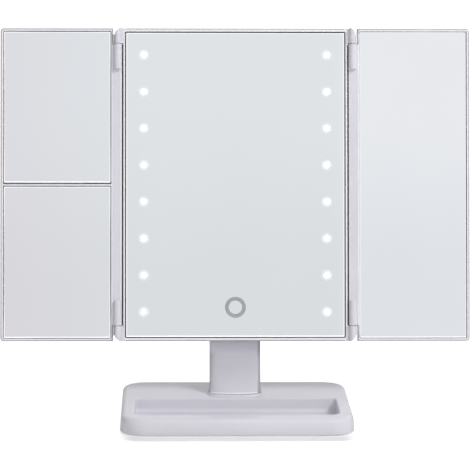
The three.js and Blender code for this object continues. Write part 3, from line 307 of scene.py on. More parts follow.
def edgeShadeFinish(name, look):
    # Edge and side of a moulding: grey, painted shade against the surroundings; a pale painted highlight
    # beside a wing's gap; dark painted shade inside it.
    shader, place = newFinish(name)
    apart = absolute(headPlaceNode(place)["X"])
    drift = driftNode(place, look["patch"], 0, look["drift"])
    beside = plus(bandNode(apart, *look["gapHighlightAt"]), drift, clamp=True)
    inside = bandNode(apart, *look["slitShadeAt"])
    colour = mixColours(inside, mixColours(beside, look["outer"], look["gap"]), look["slit"])
    setSockets(shader, {"Base Color": colour, "Roughness": rangeNode(drift, 0, look["drift"], *look["rough"]),
                        "Specular IOR Level": rangeNode(inside, 0, 1, *look["shine"])})


groundShadeLooks = {
    # painted on the ground edge: dark shade from rightFrom across, at the lower edge and within fromRib of
    # the middle height, pale light elsewhere
    "middleGroundShade": {"dark": tone(74, 77, 81), "pale": tone(84, 87, 91), "rightFrom": -500, "fromRib": 0},
    "leftGroundShade": {"dark": tone(98, 100, 104), "pale": tone(140, 141, 146), "rightFrom": -93, "fromRib": 4},
    "rightGroundShade": {"dark": tone(92, 95, 98), "pale": tone(236, 236, 240), "rightFrom": 168, "fromRib": 0},
}
groundCut = {
    "rightSoft": 0.5, "ribSoft": 1, "lowerEdge": (5, 4),
    "patch": 0.02, "drift": 0.2, "rough": (0.4, 0.6), "shine": 0.1,
}


def groundShadeFinish(name, look, cut):
    # Ground edge of a glass, with light and shade painted on: dark on some sides and pale on the others.
    shader, place = newFinish(name)
    across, _, height = headPlaceNode(place)
    right = rangeNode(across, look["rightFrom"], look["rightFrom"] + cut["rightSoft"])
    below = rangeNode(height, *cut["lowerEdge"])
    fromRib = absolute(minus(height, headPlace["halfHeight"]))
    nearRib = rangeNode(fromRib, look["fromRib"], look["fromRib"] - cut["ribSoft"])
    share = mathNode("MAXIMUM", mathNode("MAXIMUM", right, below), nearRib)
    drift = driftNode(place, cut["patch"], 0, cut["drift"])
    share = minus(share, drift, clamp=True)
    setSockets(shader, {"Base Color": mixColours(share, look["pale"], look["dark"]),
                        "Roughness": rangeNode(drift, 0, cut["drift"], *cut["rough"]),
                        "Specular IOR Level": cut["shine"]})


ribShadeLook = {
    # joint: painted shade under the upper glass; pale: painted highlight
    "joint": tone(58, 60, 64), "pale": tone(232, 231, 237), "shadowLineAt": (115.3, 115.5),
    "patch": 0.02, "drift": 0.1, "rough": (0.34, 0.6), "shine": (0.5, 0.1),
}


def ribFinish(name, look):
    # Bar between the two bowls: pale, a painted highlight, with a dark line of painted shade just under the
    # upper glass.
    shader, place = newFinish(name)
    share = rangeNode(headPlaceNode(place)["Z"], *look["shadowLineAt"])
    share = minus(share, driftNode(place, look["patch"], 0, look["drift"]), clamp=True)
    setSockets(shader, {"Base Color": mixColours(share, look["pale"], look["joint"]),
                        "Roughness": rangeNode(share, 0, 1, *look["rough"]),
                        "Specular IOR Level": rangeNode(share, 0, 1, *look["shine"])})


neckShadeLook = {
    # heights and half widths are in metres
    # foot to top: painted shade from the head; shaded: painted light that lifts it; hem: painted highlight;
    # side: painted shade
    "foot": tone(220, 218, 226), "top": tone(198, 196, 204), "rise": (0.016, 0.034),
    "shaded": tone(230, 228, 237), "shadowLiftAt": (0.04, 0.0458),  # under the head, where light is scarce
    "hem": tone(250, 249, 252), "hemHighlightAt": (0.0148, 0.0144),
    "side": tone(170, 168, 175), "sideShadeAt": (0.0172, 0.0184), "sideShadeMiddle": -0.0009,
    "patch": 0.012, "drift": (-0.06, 0.06), "rough": (0.34, 0.38),
}


def neckShadeFinish(name, look):
    # Plastic with the head's shade painted on: paler towards the foot and darker towards the top, lifted by
    # painted light just under the head, with a painted highlight on its hem and painted shade at its rounded
    # sides.
    shader, place = newFinish(name)
    across, _, height = splitPlace(place)
    clouds = driftNode(place, look["patch"], *look["drift"])
    rise = plus(rangeNode(height, *look["rise"]), clouds, clamp=True)
    colour = mixColours(rise, look["foot"], look["top"])
    colour = mixColours(rangeNode(height, *look["shadowLiftAt"], smooth=True), colour, look["shaded"])
    colour = mixColours(rangeNode(height, *look["hemHighlightAt"]), colour, look["hem"])
    apart = absolute(minus(across, look["sideShadeMiddle"]))
    colour = mixColours(rangeNode(apart, *look["sideShadeAt"], smooth=True), colour, look["side"])
    setSockets(shader, {"Base Color": colour, "Roughness": rangeNode(clouds, *look["drift"], *look["rough"])})


mirrorReflectionLook = {
    # tones by wing and height: painted reflection of the room; halo: painted glow round each light
    "low": [tone(216, 214, 220), tone(217, 221, 224), tone(222, 226, 230)],  # left wing, middle, right wing
    "high": [tone(220, 221, 226), tone(223, 227, 230), tone(232, 234, 238)],
    "rise": (25.0, 185.0), "leftFade": (-172.5, -67.3), "rightFade": (67.3, 97.3),
    "halo": tone(232, 236, 239), "paintedHaloAt": (3.0, 4.9),  # from the middle of a light
    "patch": 0.08, "drift": (-0.12, 0.12), "smudge": 0.02, "smudgeRange": (0.45, 0.75), "rough": (0.02, 0.05),
}
lights = {
    "across": 67.3, "low": 21.5, "pitch": 27.0, "count": 8,
    "radius": 3.4, "proud": 0.12, "face": 0.6, "back": 3.8, "dome": 0.16,
    "barHalf": 5.5, "barFront": 3.3, "barBack": 4.8, "barEnd": 5.0, "barCorner": 1.5, "barEdge": 0.2,
}


def lightDistance(across, height, w):
    # Distance from the middle of the nearest light: columns at two places across, rows at an even pitch.
    sideways = minus(absolute(across), w["across"])
    steps = mathNode("DIVIDE", minus(height, w["low"]), w["pitch"])
    upwards = times(minus(steps, mathNode("ROUND", steps)), w["pitch"])
    squares = [mathNode("POWER", apart, 2.0) for apart in (sideways, upwards)]
    return mathNode("SQRT", plus(*squares))


def mirrorFinish(name, look, lit):
    # Silver with a painted reflection: its tone drifts from the left wing to the right one and upwards.
    # Where it is lit, each light has a soft painted halo.
    shader, place = newFinish(name)
    across, _, height = headPlaceNode(place)
    leftShare = rangeNode(across, *look["leftFade"])
    rightShare = rangeNode(across, *look["rightFade"], smooth=True)
    rows = []
    for left, middle, right in (look["low"], look["high"]):
        rows.append(mixColours(rightShare, mixColours(leftShare, left, middle), right))
    clouds = driftNode(place, look["patch"], *look["drift"])
    upShare = rangeNode(height, *look["rise"], smooth=True)
    silver = mixColours(plus(upShare, clouds, clamp=True), *rows)
    if lit:
        near = rangeNode(lightDistance(across, height, lights), *look["paintedHaloAt"], 1, 0, smooth=True)
        silver = mixColours(near, silver, look["halo"])
    smudge = rangeNode(noiseNode(place, look["smudge"], detail=4.0), *look["smudgeRange"], *look["rough"])
    setSockets(shader, {"Base Color": silver, "Metallic": 1.0, "Roughness": smudge})


glowLook = {
    "rim": tone(236, 240, 242), "milk": tone(250, 252, 253), "light": tone(250, 252, 255),
    "core": (0.2, 4.0), "strength": 0.35, "patch": 0.002, "drift": (-0.25, 0.25), "rough": 0.35,
}


def glowFinish(name, look):
    # Milky window: glows in the middle of each light and fades to the glass's own tone at its rim.
    shader, place = newFinish(name)
    across, _, height = headPlaceNode(place)
    apart = lightDistance(across, height, lights)
    apart = plus(apart, driftNode(place, look["patch"], *look["drift"]))
    middle = rangeNode(apart, *look["core"], 1, 0, smooth=True)
    setSockets(shader, {"Base Color": mixColours(middle, look["rim"], look["milk"]),
                        "Roughness": look["rough"], "Emission Color": look["light"],
                        "Emission Strength": times(middle, look["strength"])})


mirrorFinish("mirrorGlass", mirrorReflectionLook, lit=False)
mirrorFinish("litMirrorGlass", mirrorReflectionLook, lit=True)
glowFinish("milkyWindow", glowLook)
neckShadeFinish("neckPlastic", neckShadeLook)
edgeShadeFinish("edgeLightAndShade", edgeShadeLook)
ribFinish("ribLightAndShade", ribShadeLook)
for name, look in groundShadeLooks.items():
    groundShadeFinish(name, look, groundCut)
slotOf = dict.fromkeys(finishes, "white_plastic") | {
    "ringPrint": "ring_print", "softRubber": "soft_rubber", "milkyWindow": "milky_window",
    "zincSteel": "steel", "castSteel": "steel", "nickelSteel": "spring_steel",
    "copperFoil": "copper_plate", "greenBoard": "circuit_board", "cellWrap": "cell_can",
    "mirrorGlass": "mirror_glass", "litMirrorGlass": "mirror_glass",
}
print("stage: finishes")

# Surfaces
meshing = {
    "point": 1e-6,  # an end ring smaller than this in millimetres is a point and needs no cap
    "doubles": 1e-7, "slivers": 1e-8,  # metres
    "packedDoubles": 1e-6, "packedFlat": 0.6,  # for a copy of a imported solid, in metres and degrees
    "smallestRadius": 0.05,
}


def ringFaces(rows, columns, looped):
    # Quads of a grid of rings: a point, its neighbour on the ring, and the same two on the next ring.
    row, column = np.meshgrid(np.arange(rows - 1 + looped), np.arange(columns), indexing="ij")
    nextRow, nextColumn = (row + 1) % rows, (column + 1) % columns
    corners = [row * columns + column, row * columns + nextColumn,
               nextRow * columns + nextColumn, nextRow * columns + column]
    return np.stack(corners, -1).reshape(-1, 4)


def shellOf(rings, looped=False, zones=None):
    # Rings stacked into one closed skin: either looped back to the first ring or capped at both ends.
    rings = np.asarray(rings, float)
    rows, columns = rings.shape[:2]
    quads = ringFaces(rows, columns, looped)
    bands = np.zeros(len(quads) // columns, int) if zones is None else np.asarray(zones)
    faceZones = np.repeat(bands, columns).tolist()
    faces = quads.tolist()
    if not looped:
        for end, start in ((0, 0), (-1, (rows - 1) * columns)):
            if np.ptp(rings[end], axis=0).max() > meshing["point"]:
                faces.append(list(range(start, start + columns)))
                faceZones.append(int(bands[end]))
    return {"points": rings.reshape(-1, 3), "faces": faces, "zones": faceZones}


def makePiece(name, shells, finishNames, body, nodes, sharpAngle=35):
    # One mesh from its shells: doubles merged, faces turned outwards, smooth but for its sharper edges.
    names = [finishNames] if isinstance(finishNames, str) else finishNames
    points = np.concatenate([shell["points"] for shell in shells]) * mm
    starts = np.cumsum([0] + [len(shell["points"]) for shell in shells[:-1]]).tolist()
    faces = [[corner + start for corner in face]
             for shell, start in zip(shells, starts) for face in shell["faces"]]
    mesh = bpy.data.meshes.new(name)
    mesh.from_pydata(points.tolist(), [], faces)
    for finishName in names:
        mesh.materials.append(finishes[finishName])
    mesh.polygons.foreach_set("material_index", [zone for shell in shells for zone in shell["zones"]])
    form = bmesh.new()
    form.from_mesh(mesh)
    bmesh.ops.remove_doubles(form, verts=form.verts, dist=meshing["doubles"])
    bmesh.ops.dissolve_degenerate(form, edges=form.edges, dist=meshing["slivers"])
    bmesh.ops.recalc_face_normals(form, faces=form.faces)
    form.to_mesh(mesh)
    form.free()
    finishPiece(name, mesh, body, nodes, sharpAngle)


def finishPiece(name, mesh, body, nodes, sharpAngle):
    # Smooth faces, sharp edges past the angle, and the body and nodes that the piece takes.
    mesh.polygons.foreach_set("use_smooth", np.ones(len(mesh.polygons), bool))
    mesh.set_sharp_from_angle(angle=math.radians(sharpAngle))
    piece = addObject(name, mesh)
    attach(piece, body)
    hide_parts(*nodes)
    return piece


def refinedCopy(node, finishName, sharpAngle=40, bevel=0.0):
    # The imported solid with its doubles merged, its flats joined and, where asked, its edges rounded.
    source = frame["nodes"][node]
    mesh = source.data.copy()
    form = bmesh.new()
    form.from_mesh(mesh)
    bmesh.ops.remove_doubles(form, verts=form.verts, dist=meshing["packedDoubles"])
    flat = math.radians(meshing["packedFlat"])
    bmesh.ops.dissolve_limit(form, angle_limit=flat, verts=form.verts, edges=form.edges)
    form.to_mesh(mesh)
    form.free()
    mesh.materials.clear()
    mesh.materials.append(finishes[finishName])
    piece = finishPiece(node + "_finished", mesh, source["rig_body"], [node], sharpAngle)
    if bevel:
        edge = piece.modifiers.new("edges", "BEVEL")
        edge.width, edge.segments = bevel * mm, 2
        edge.limit_method, edge.angle_limit = "ANGLE", math.radians(sharpAngle)
    piece.modifiers.new("normals", "WEIGHTED_NORMAL").keep_sharp = True


def outlineRing(corners, radii, inset, steps):
    # Closed outline, counter-clockwise, moved inwards by the inset, with each corner an exact arc:
    # a rational quadratic between the two points where the arc meets the sides.
    corners = np.asarray(corners, float)
    side = np.roll(corners, -1, 0) - corners
    side /= np.linalg.norm(side, axis=1, keepdims=True)
    before = np.roll(side, 1, 0)
    outBefore = np.stack([before[:, 1], -before[:, 0]], 1)
    outAfter = np.stack([side[:, 1], -side[:, 0]], 1)
    cosTurn = (outBefore * outAfter).sum(1)
    vertex = corners - inset * (outBefore + outAfter) / (1 + cosTurn)[:, None]
    turning = before[:, 0] * side[:, 1] - before[:, 1] * side[:, 0]
    radius = np.broadcast_to(radii, turning.shape) - inset * np.sign(turning)
    radius = np.maximum(radius, meshing["smallestRadius"])
    half = np.sqrt((1 + cosTurn) / 2)  # cosine of half the turn
    reach = (radius * np.sqrt((1 - cosTurn).clip(0) / (1 + cosTurn)))[:, None, None]
    share = np.linspace(0, 1, steps + 1)[None, :, None]
    weights = [(1 - share) ** 2, 2 * share * (1 - share) * half[:, None, None], share ** 2]
    vertex, before, after = vertex[:, None], before[:, None], side[:, None]
    ends = [vertex - reach * before, vertex, vertex + reach * after]
    arc = sum(weight * end for weight, end in zip(weights, ends)) / sum(weights)
    return arc.reshape(-1, 2)


def rectangle(lowU, highU, lowV, highV):
    # Corners from the lower left one, counter-clockwise.
    return [[lowU, lowV], [highU, lowV], [highU, highV], [lowU, highV]]


def edgeRound(radius, steps=6):
    # Quarter round as pairs of inset and drop: from the side wall to the face that it runs into.
    angle = np.linspace(0, np.pi / 2, steps + 1)
    return np.stack([radius * (1 - np.cos(angle)), radius * (1 - np.sin(angle))], 1)


def turnedShell(profile, start, axis, sides, waist=1.0):
    # Profile of radius and distance turned about a unit axis.
    # A waist is a factor on the radius, by ring and angle.
    profile = np.asarray(profile, float)
    helper = np.array([1.0, 0, 0]) if abs(axis[0]) < 0.9 else upright  # not nearly along the axis
    first = np.cross(axis, helper)
    first /= np.linalg.norm(first)
    angle = np.linspace(0, 2 * np.pi, sides, endpoint=False)
    spoke = np.cos(angle)[:, None] * first + np.sin(angle)[:, None] * np.cross(axis, first)
    radius = profile[:, :1] * np.ones(sides) * waist
    return shellOf(np.asarray(start) + profile[:, 1][:, None, None] * axis + radius[..., None] * spoke)


def rodShell(start, axis, radius, length, sides=24):
    # Straight rod with flat ends.
    return turnedShell([[0, 0], [radius, 0], [radius, length], [0, length]], start, axis, sides)


# Stand: shell with its tray, base plate, feet and screws
stand = {
    "halfWidth": 84, "halfDepth": 59, "corner": 17, "lift": 0.8, "top": 12.4, "draft": 0.9, "edge": 3.4,
    "wall": 3.1, "ceiling": 10.2, "trayHalf": 73.5, "trayFront": -43.5, "trayBack": 4.8, "trayWall": 1.4,
    "trayCorners": (7, 7, 2.6, 2.6), "trayLip": 1.3, "trayFillet": 2.4, "trayFloor": 2.5, "trayUnder": 1.1,
    "rim": [(0.5, 0), (0.15, 0.12), (0.02, 0.45)],  # inset and rise of the lower edge
    "lead": 0.2, "topLead": 0.25, "floorInsets": (0.4, 8),  # flat stretches before and after the rounded ones
    "cornerSteps": 12, "shadedTrayBands": 7,
}
padPlace = {
    "middle": 18.9, "halfWidth": 20.8, "halfDepth": 10.7, "oval": 2.3,
    "low": 12.2, "top": 13.4, "chamfer": 0.6, "lead": 0.2,
    "skirt": [(-0.35, 0), (-0.12, 0.28), (0, 0.5)],  # inset and rise of the lower edge
}
bossPlaces = [(-51, -51), (-51, 48), (51, -51), (51, 48)]
bossSize = {"radius": 3.1, "low": 3.4, "high": 10.7}
footSize = {"across": 64, "depth": 50.4, "radius": 4.2, "height": 1.6, "edge": 0.5, "lead": 0.3}


def standShell(s):
    # Rings from the tray's underside through the cavity, round the rim, up the drafted wall, over the soft
    # edge and the flat top, and down the tray's lip, wall and fillet to its floor.
    outer = rectangle(-s["halfWidth"], s["halfWidth"], -s["halfDepth"], s["halfDepth"]), s["corner"]
    tray = rectangle(-s["trayHalf"], s["trayHalf"], s["trayFront"], s["trayBack"]), s["trayCorners"]
    top, floor, fillet = s["top"], s["trayFloor"], s["trayFillet"]
    taper = s["draft"] / (top - s["lift"])  # inset of the outer wall for each millimetre of height
    places = [(tray, -s["trayWall"], s["trayUnder"]), (tray, -s["trayWall"], s["ceiling"])]
    places += [(outer, s["wall"], s["ceiling"]), (outer, s["wall"], s["lift"])]
    places += [(outer, inset, s["lift"] + rise) for inset, rise in s["rim"]]
    for inset, drop in edgeRound(s["edge"], steps=9):
        places.append((outer, inset + taper * (top - drop - s["lift"]), top - drop))
    places += [(outer, s["edge"] + s["draft"] + s["topLead"], top), (tray, -s["trayLip"] - s["lead"], top)]
    places += [(tray, -inset, top - drop) for inset, drop in edgeRound(s["trayLip"], steps=7)[::-1]]
    places += [(tray, 0.0, floor + fillet + s["lead"])]
    places += [(tray, inset, floor + drop) for inset, drop in edgeRound(fillet)]
    places += [(tray, fillet + further, floor) for further in s["floorInsets"]]
    rings = []
    for (corners, radii), inset, level in places:
        ring = outlineRing(corners, radii, inset, s["cornerSteps"])
        rings.append(onStand(ring[:, 0], ring[:, 1], level))
    # the last bands, the tray's fillet and floor, take the tray finish with its painted shade
    return shellOf(rings, zones=[0] * (len(rings) - 1 - s["shadedTrayBands"]) + [1] * s["shadedTrayBands"])


def ovalRing(halfAcross, halfDepth, exponent, count=72):
    # Superellipse: each axis is its half length times the signed power of the cosine or sine.
    angle = np.linspace(0, 2 * np.pi, count, endpoint=False)
    wave = np.stack([np.cos(angle), np.sin(angle)])
    power = np.sign(wave) * np.abs(wave) ** (2 / exponent)
    return power[0] * halfAcross, power[1] * halfDepth


def padShell(p):
    # Ovals from the skirt up over the chamfer to the flat top.
    places = [(inset, p["low"] + rise) for inset, rise in p["skirt"]]
    places += [(inset, p["top"] - drop) for inset, drop in edgeRound(p["chamfer"], steps=5)]
    rings = []
    for inset, level in [*places, (p["chamfer"] + p["lead"], p["top"])]:
        across, depth = ovalRing(p["halfWidth"] - inset, p["halfDepth"] - inset, p["oval"])
        rings.append(onStand(across, p["middle"] + depth, level))
    return shellOf(rings)


def bossShell(place, b):
    # A rod upwards from its lower end.
    return rodShell(onStand(*place, b["low"]), upright, b["radius"], b["high"] - b["low"])


standShells = [standShell(stand), padShell(padPlace)] + [bossShell(place, bossSize) for place in bossPlaces]
makePiece("stand_shell", standShells, ["basePlasticShadedEnds", "trayShadedPlastic"], "stand", ["base_shell"])


def footShell(across, depth, f, sides=40):
    # Turned from the rounded lower edge up to the flat top.
    profile = [[0, 0], [f["radius"] - f["edge"] - f["lead"], 0]]
    profile += [[f["radius"] - inset, drop] for inset, drop in edgeRound(f["edge"], steps=5)[::-1]]
    profile += [[f["radius"], f["height"]], [0, f["height"]]]
    return turnedShell(profile, onStand(across, depth, 0), upright, sides)


for end, sideDepth in (("front", -1), ("rear", 1)):
    for hand, sideAcross in (("left", -1), ("right", 1)):
        foot = footShell(sideAcross * footSize["across"], sideDepth * footSize["depth"], footSize)
        makePiece(f"rubber_foot_{end}_{hand}", [foot], "softRubber", "stand", [f"foot_{end}_{hand}"])

screwSize = {
    "head": 2.4, "shank": 1.1, "headHeight": 1.5, "drive": 0.95, "driveDepth": 0.75, "edge": 0.12,
    "mouth": (0.1, 0.08), "groove": 0.22, "pitch": 0.3, "lead": 0.6, "tail": 0.2,
}
standScrew = {"low": 1.4, "length": 7}


def hexagonWaist(angle):
    # Radius of a hexagon by angle, as a share of the radius at its corners.
    sixth = np.pi / 3
    return math.cos(sixth / 2) / np.cos((angle % sixth) - sixth / 2)


def screwShell(start, axis, length, s, sides=48):
    # Countersunk head with a six-sided socket, then a shank with shallow turns and a blunt tip.
    threads = np.arange(s["headHeight"] + s["lead"], length - s["shank"] - s["tail"], s["pitch"])
    ripple = s["shank"] - s["groove"] * (np.arange(len(threads)) % 2)
    profile = [[0, s["driveDepth"]], [s["drive"], s["driveDepth"]], [s["drive"], s["mouth"][1]],
               [s["drive"] + s["mouth"][0], 0], [s["head"] - s["edge"], 0], [s["head"], s["edge"]],
               [s["shank"], s["headHeight"]], *np.column_stack([ripple, threads]).tolist(),
               [s["shank"], length - s["shank"]], [0, length]]
    waist = np.ones((len(profile), sides))
    waist[1:3] = hexagonWaist(np.linspace(0, 2 * np.pi, sides, endpoint=False))
    return turnedShell(profile, start, axis, sides, waist)


for number, place in enumerate(bossPlaces, 1):
    screw = screwShell(onStand(*place, standScrew["low"]), upright, standScrew["length"], screwSize)
    makePiece(f"stand_screw_{number}", [screw], "zincSteel", "stand", [f"base_screw_{number}"])
refinedCopy("base_plate", "ribbedPlastic", bevel=0.2)
print("stage: stand")

# Neck: a path that leans back, with an oval section that grows squarer up to the barrel
neck = {
    "foot": 18.9, "footLevel": 13.7, "bend": 0.25, "halfWidth": 18.5, "footHalfWidth": 19.5, "flare": 0.25,
    "footHalfDepth": 6.7, "topHalfDepth": 4.8, "footOval": 2.3, "topOval": 4.0, "square": 0.625,
    "barrel": 6.3, "barrelHalf": 19.0, "barrelOval": 9.0, "parting": 0.15, "thinnest": 0.17, "rows": 60,
    "barrelRows": 11, "tenonHalfWidth": 13, "tenonHalfDepth": 3.5, "tenonLow": 8.7, "tenonHigh": 22.7,
    "tenonCorner": 2.0,
}


def neckPath(share, n):
    # Quadratic curve from the foot, first straight up and then back to the pivot, and its unit direction.
    start = onStand(0, n["foot"], n["footLevel"])
    middle = onStand(0, n["foot"], n["footLevel"] + n["bend"] * (pivotPoint[2] - n["footLevel"]))
    t = share[:, None]
    point = (1 - t) ** 2 * start + 2 * t * (1 - t) * middle + t ** 2 * pivotPoint
    slope = 2 * (1 - t) * (middle - start) + 2 * t * (pivotPoint - middle)
    return point, slope / np.linalg.norm(slope, axis=1, keepdims=True)


def neckSections(n):
    # Half sizes and exponent of the section along the path, then past its end over the barrel.
    share = np.append(np.linspace(0, 1, n["rows"]), np.ones(n["barrelRows"]))
    beyond = n["barrel"] * np.sin(np.linspace(0, np.pi / 2, n["barrelRows"] + 1)[1:])
    point, along = neckPath(share, n)
    point[n["rows"]:] += beyond[:, None] * along[-1]
    flare = np.clip(1 - share / n["flare"], 0, None) ** 2
    halfWidth = n["halfWidth"] + (n["footHalfWidth"] - n["halfWidth"]) * flare
    halfDepth = n["footHalfDepth"] + (n["topHalfDepth"] - n["footHalfDepth"]) * np.sqrt(share)
    halfDepth[n["rows"]:] = 0
    oval = n["footOval"] + (n["topOval"] - n["footOval"]) * np.clip(share / n["square"], 0, 1)
    fromPivot = (point - pivotPoint) @ along[-1]
    barrel = np.sqrt(np.clip(n["barrel"] ** 2 - fromPivot ** 2, 0, None))
    onBarrel = barrel > halfDepth
    halfWidth = np.where(onBarrel, n["barrelHalf"], halfWidth)
    oval = np.where(onBarrel, n["barrelOval"], oval)
    halfDepth = np.maximum(np.maximum(halfDepth, barrel), n["thinnest"])
    return point, along, halfWidth, halfDepth, oval


def neckShell(n, count=64):
    # Front half of each section: signed powers of cosine and sine from one end of the oval to the other,
    # kept in front of the parting plane, which closes the ring behind.
    point, along, halfWidth, halfDepth, oval = neckSections(n)
    widthways = np.array([1.0, 0, 0])
    angle = np.linspace(np.pi, 2 * np.pi, count)
    power = 2 / oval[:, None]
    sideways = halfWidth[:, None] * np.sign(np.cos(angle)) * np.abs(np.cos(angle)) ** power
    forwards = np.minimum(-halfDepth[:, None] * np.abs(np.sin(angle)) ** power, -n["parting"])
    across = np.cross(along, widthways)[:, None]
    return shellOf(point[:, None] + sideways[..., None] * widthways + forwards[..., None] * across)


def tenonShell(n):
    # Upright block whose outline is a rounded rectangle.
    halfWidth, halfDepth = n["tenonHalfWidth"], n["tenonHalfDepth"]
    corners = rectangle(-halfWidth, halfWidth, n["foot"] - halfDepth, n["foot"] + halfDepth)
    ring = outlineRing(corners, n["tenonCorner"], inset=0, steps=4)
    return shellOf([onStand(ring[:, 0], ring[:, 1], n[level]) for level in ("tenonLow", "tenonHigh")])


makePiece("neck_shell", [neckShell(neck), tenonShell(neck)], "neckPlastic", "stand", ["neck_front"])
refinedCopy("neck_cover", "whitePlastic")
print("stage: neck")

# Centre panel: frame, glass, lights and touch ring
panel = {
    "height": 230, "corner": 2.5, "edge": 0.9, "depth": 7.5, "ledgeWidth": 4.5, "chamfer": 0.2, "arris": 0.12,
}
centre = {**panel, "half": 82.5, "pocketHalf": 81.1, "pocketEnd": 2.4, "pocketCorner": 1.0, "ledge": 3.3}
lug = {
    "middle": 86.5, "ahead": 1.0, "reach": 1.8, "length": 11.1, "depth": 4.6, "radius": 2.7, "chamfer": 3.0,
    "proud": 0.1, "root": 81.5, "edge": 0.35, "rearSlope": 1.6, "rearEdge": 0.3,
    "ends": [(0, 1), (0.1, 0.4), (0.35, 0)],  # distance from either end, and its share of the edge
    "slopeFrom": 0.5, "slopeRows": 6, "pinSteps": 28,
}
boss = {"across": 74.0, "inset": 9.5, "radius": 3.1, "front": 3.8, "back": 7.3}


def fromEnd(distance, atTop):
    # Height of what lies a distance in from the lower or the upper end of the head.
    return panel["height"] - distance if atTop else distance


def outlineRings(corners, radii, places, steps):
    # One outline, moved inwards by each inset and put at each depth.
    rings = []
    for inset, depth in places:
        ring = outlineRing(corners, radii, inset, steps)
        rings.append(np.column_stack([ring[:, 0], np.full(len(ring), depth), ring[:, 1]]))
    return rings


def shellOnHead(rings, side=1, **how):
    # Rings of across, depth and height. The left wing is the right one turned over: across changes sign.
    rings = np.asarray(rings) * np.array([side, 1, 1])
    return shellOf(onHead(rings[..., 0], rings[..., 1], rings[..., 2]), **how)


def slabShell(corners, radius, places, side=1, zones=None, steps=2):
    # One outline on the head, stacked at the inset and depth of each place.
    return shellOnHead(outlineRings(corners, radius, places, steps), side, zones=zones)


def outsideRings(corners, radii, p, steps):
    # A panel's outside: small back chamfer, side wall and quarter round to the start of the front face.
    places = [(p["chamfer"], p["depth"]), (0, p["depth"] - p["chamfer"]), *edgeRound(p["edge"])]
    return outlineRings(corners, radii, places, steps)


def centreFrameShell(c, steps=6):
    # A looped section carried round the panel: outside, front face, pocket wall, ledge, opening and back.
    outer = rectangle(-c["half"], c["half"], 0, c["height"])
    pocket = rectangle(-c["pocketHalf"], c["pocketHalf"], c["pocketEnd"], c["height"] - c["pocketEnd"])
    rings = outsideRings(outer, c["corner"], c, steps)
    places = [(-c["arris"], 0), (0, c["arris"]), (0, c["ledge"]),
              (c["ledgeWidth"], c["ledge"]), (c["ledgeWidth"], c["depth"])]
    rings += outlineRings(pocket, c["pocketCorner"], places, steps)
    # outside: edge finish with painted shade; front face: paler painted highlight
    return shellOnHead(rings, looped=True, zones=[1] * 8 + [2, 2] + [0] * 4)


def lugShell(side, atTop, p):
    # Round about the pin in front and flat behind.
    # Rings run along the pin, and the end slopes off at 45 degrees.
    first = math.pi - math.asin((p["ahead"] - p["proud"]) / p["radius"])
    angle = np.linspace(first, 2 * math.pi - math.acos(p["reach"] / p["radius"]), p["pinSteps"])
    tip = p["middle"] + p["reach"]
    across = [tip - p["rearEdge"], p["root"], p["root"],
              *(p["middle"] + p["radius"] * np.cos(angle)), tip, tip]
    depth = [p["depth"], p["depth"], -p["proud"], *(p["radius"] * np.sin(angle) - p["ahead"]),
             p["depth"] - p["rearSlope"], p["depth"] - p["rearEdge"]]
    distance, share = np.array(p["ends"]).T
    slope = np.linspace(p["slopeFrom"], p["chamfer"], p["slopeRows"])
    level = np.concatenate([distance, slope, p["length"] - distance[::-1]])
    endInset = p["edge"] * np.concatenate([share, 0 * slope, share[::-1]])
    limit = tip - np.clip(p["chamfer"] - level, 0, None) - endInset
    middleDepth = (p["depth"] - p["ahead"] - p["radius"]) / 2
    squeeze = 1 - endInset[:, None] / (p["depth"] - middleDepth)
    ringDepth = middleDepth + (np.array(depth) - middleDepth) * squeeze
    ringAcross = side * np.minimum(across, limit[:, None])
    return shellOf(onHead(ringAcross, ringDepth, fromEnd(level, atTop)[:, None]))


def bossRod(side, atTop, b):
    # A rod towards the back, set in from one corner of the head.
    return rodShell(onHead(side * b["across"], b["front"], fromEnd(b["inset"], atTop)), headBack,
                    b["radius"], b["back"] - b["front"])


ends = [(side, atTop) for side in (-1, 1) for atTop in (False, True)]
frameShells = [centreFrameShell(centre)]
frameShells += [lugShell(*end, lug) for end in ends] + [bossRod(*end, boss) for end in ends]
# plain plastic, edges with painted light and shade, and paler plastic as a painted highlight
mouldingZones = ["whitePlastic", "edgeLightAndShade", "paintedHighlightPlastic"]
makePiece("centre_frame_moulding", frameShells, mouldingZones, "head", ["centre_frame"])

glassShape = {"face": 0.6, "corner": 0.8, "arris": 0.3, "lead": 0.05}
centreGlass = {**glassShape, "low": (-80.85, 2.65), "high": (80.85, 227.35), "thickness": 2.4,
               "grind": 0.6, "bevel": 1.35, "bevelDrop": 0.25}


def glassCorners(g):
    # The rectangle between the two corners that a glass is given by.
    return rectangle(g["low"][0], g["high"][0], g["low"][1], g["high"][1])


def flatGlassShell(g):
    # Rings from the back face over the ground edge and the polished bevel to the flat face.
    back, bevelDepth = g["face"] + g["thickness"], g["face"] + g["bevelDrop"]
    places = [(g["arris"], back), (0, back - g["arris"]), (0, bevelDepth + g["arris"]),
              (g["grind"], bevelDepth), (g["bevel"], g["face"]), (g["bevel"] + g["lead"], g["face"])]
    return slabShell(glassCorners(g), g["corner"], places, zones=[1, 1, 1, 2, 0], steps=4)


# glass face, ground edge with painted light and shade, and bevel
litGlassZones = ["litMirrorGlass", "middleGroundShade", "polishedBevel"]
leftGlassZones = ["mirrorGlass", "leftGroundShade", "polishedBevel"]
rightGlassZones = ["mirrorGlass", "rightGroundShade", "softBevel"]
makePiece("centre_mirror_glass", [flatGlassShell(centreGlass)], litGlassZones, "head", ["centre_mirror"],
          sharpAngle=3)


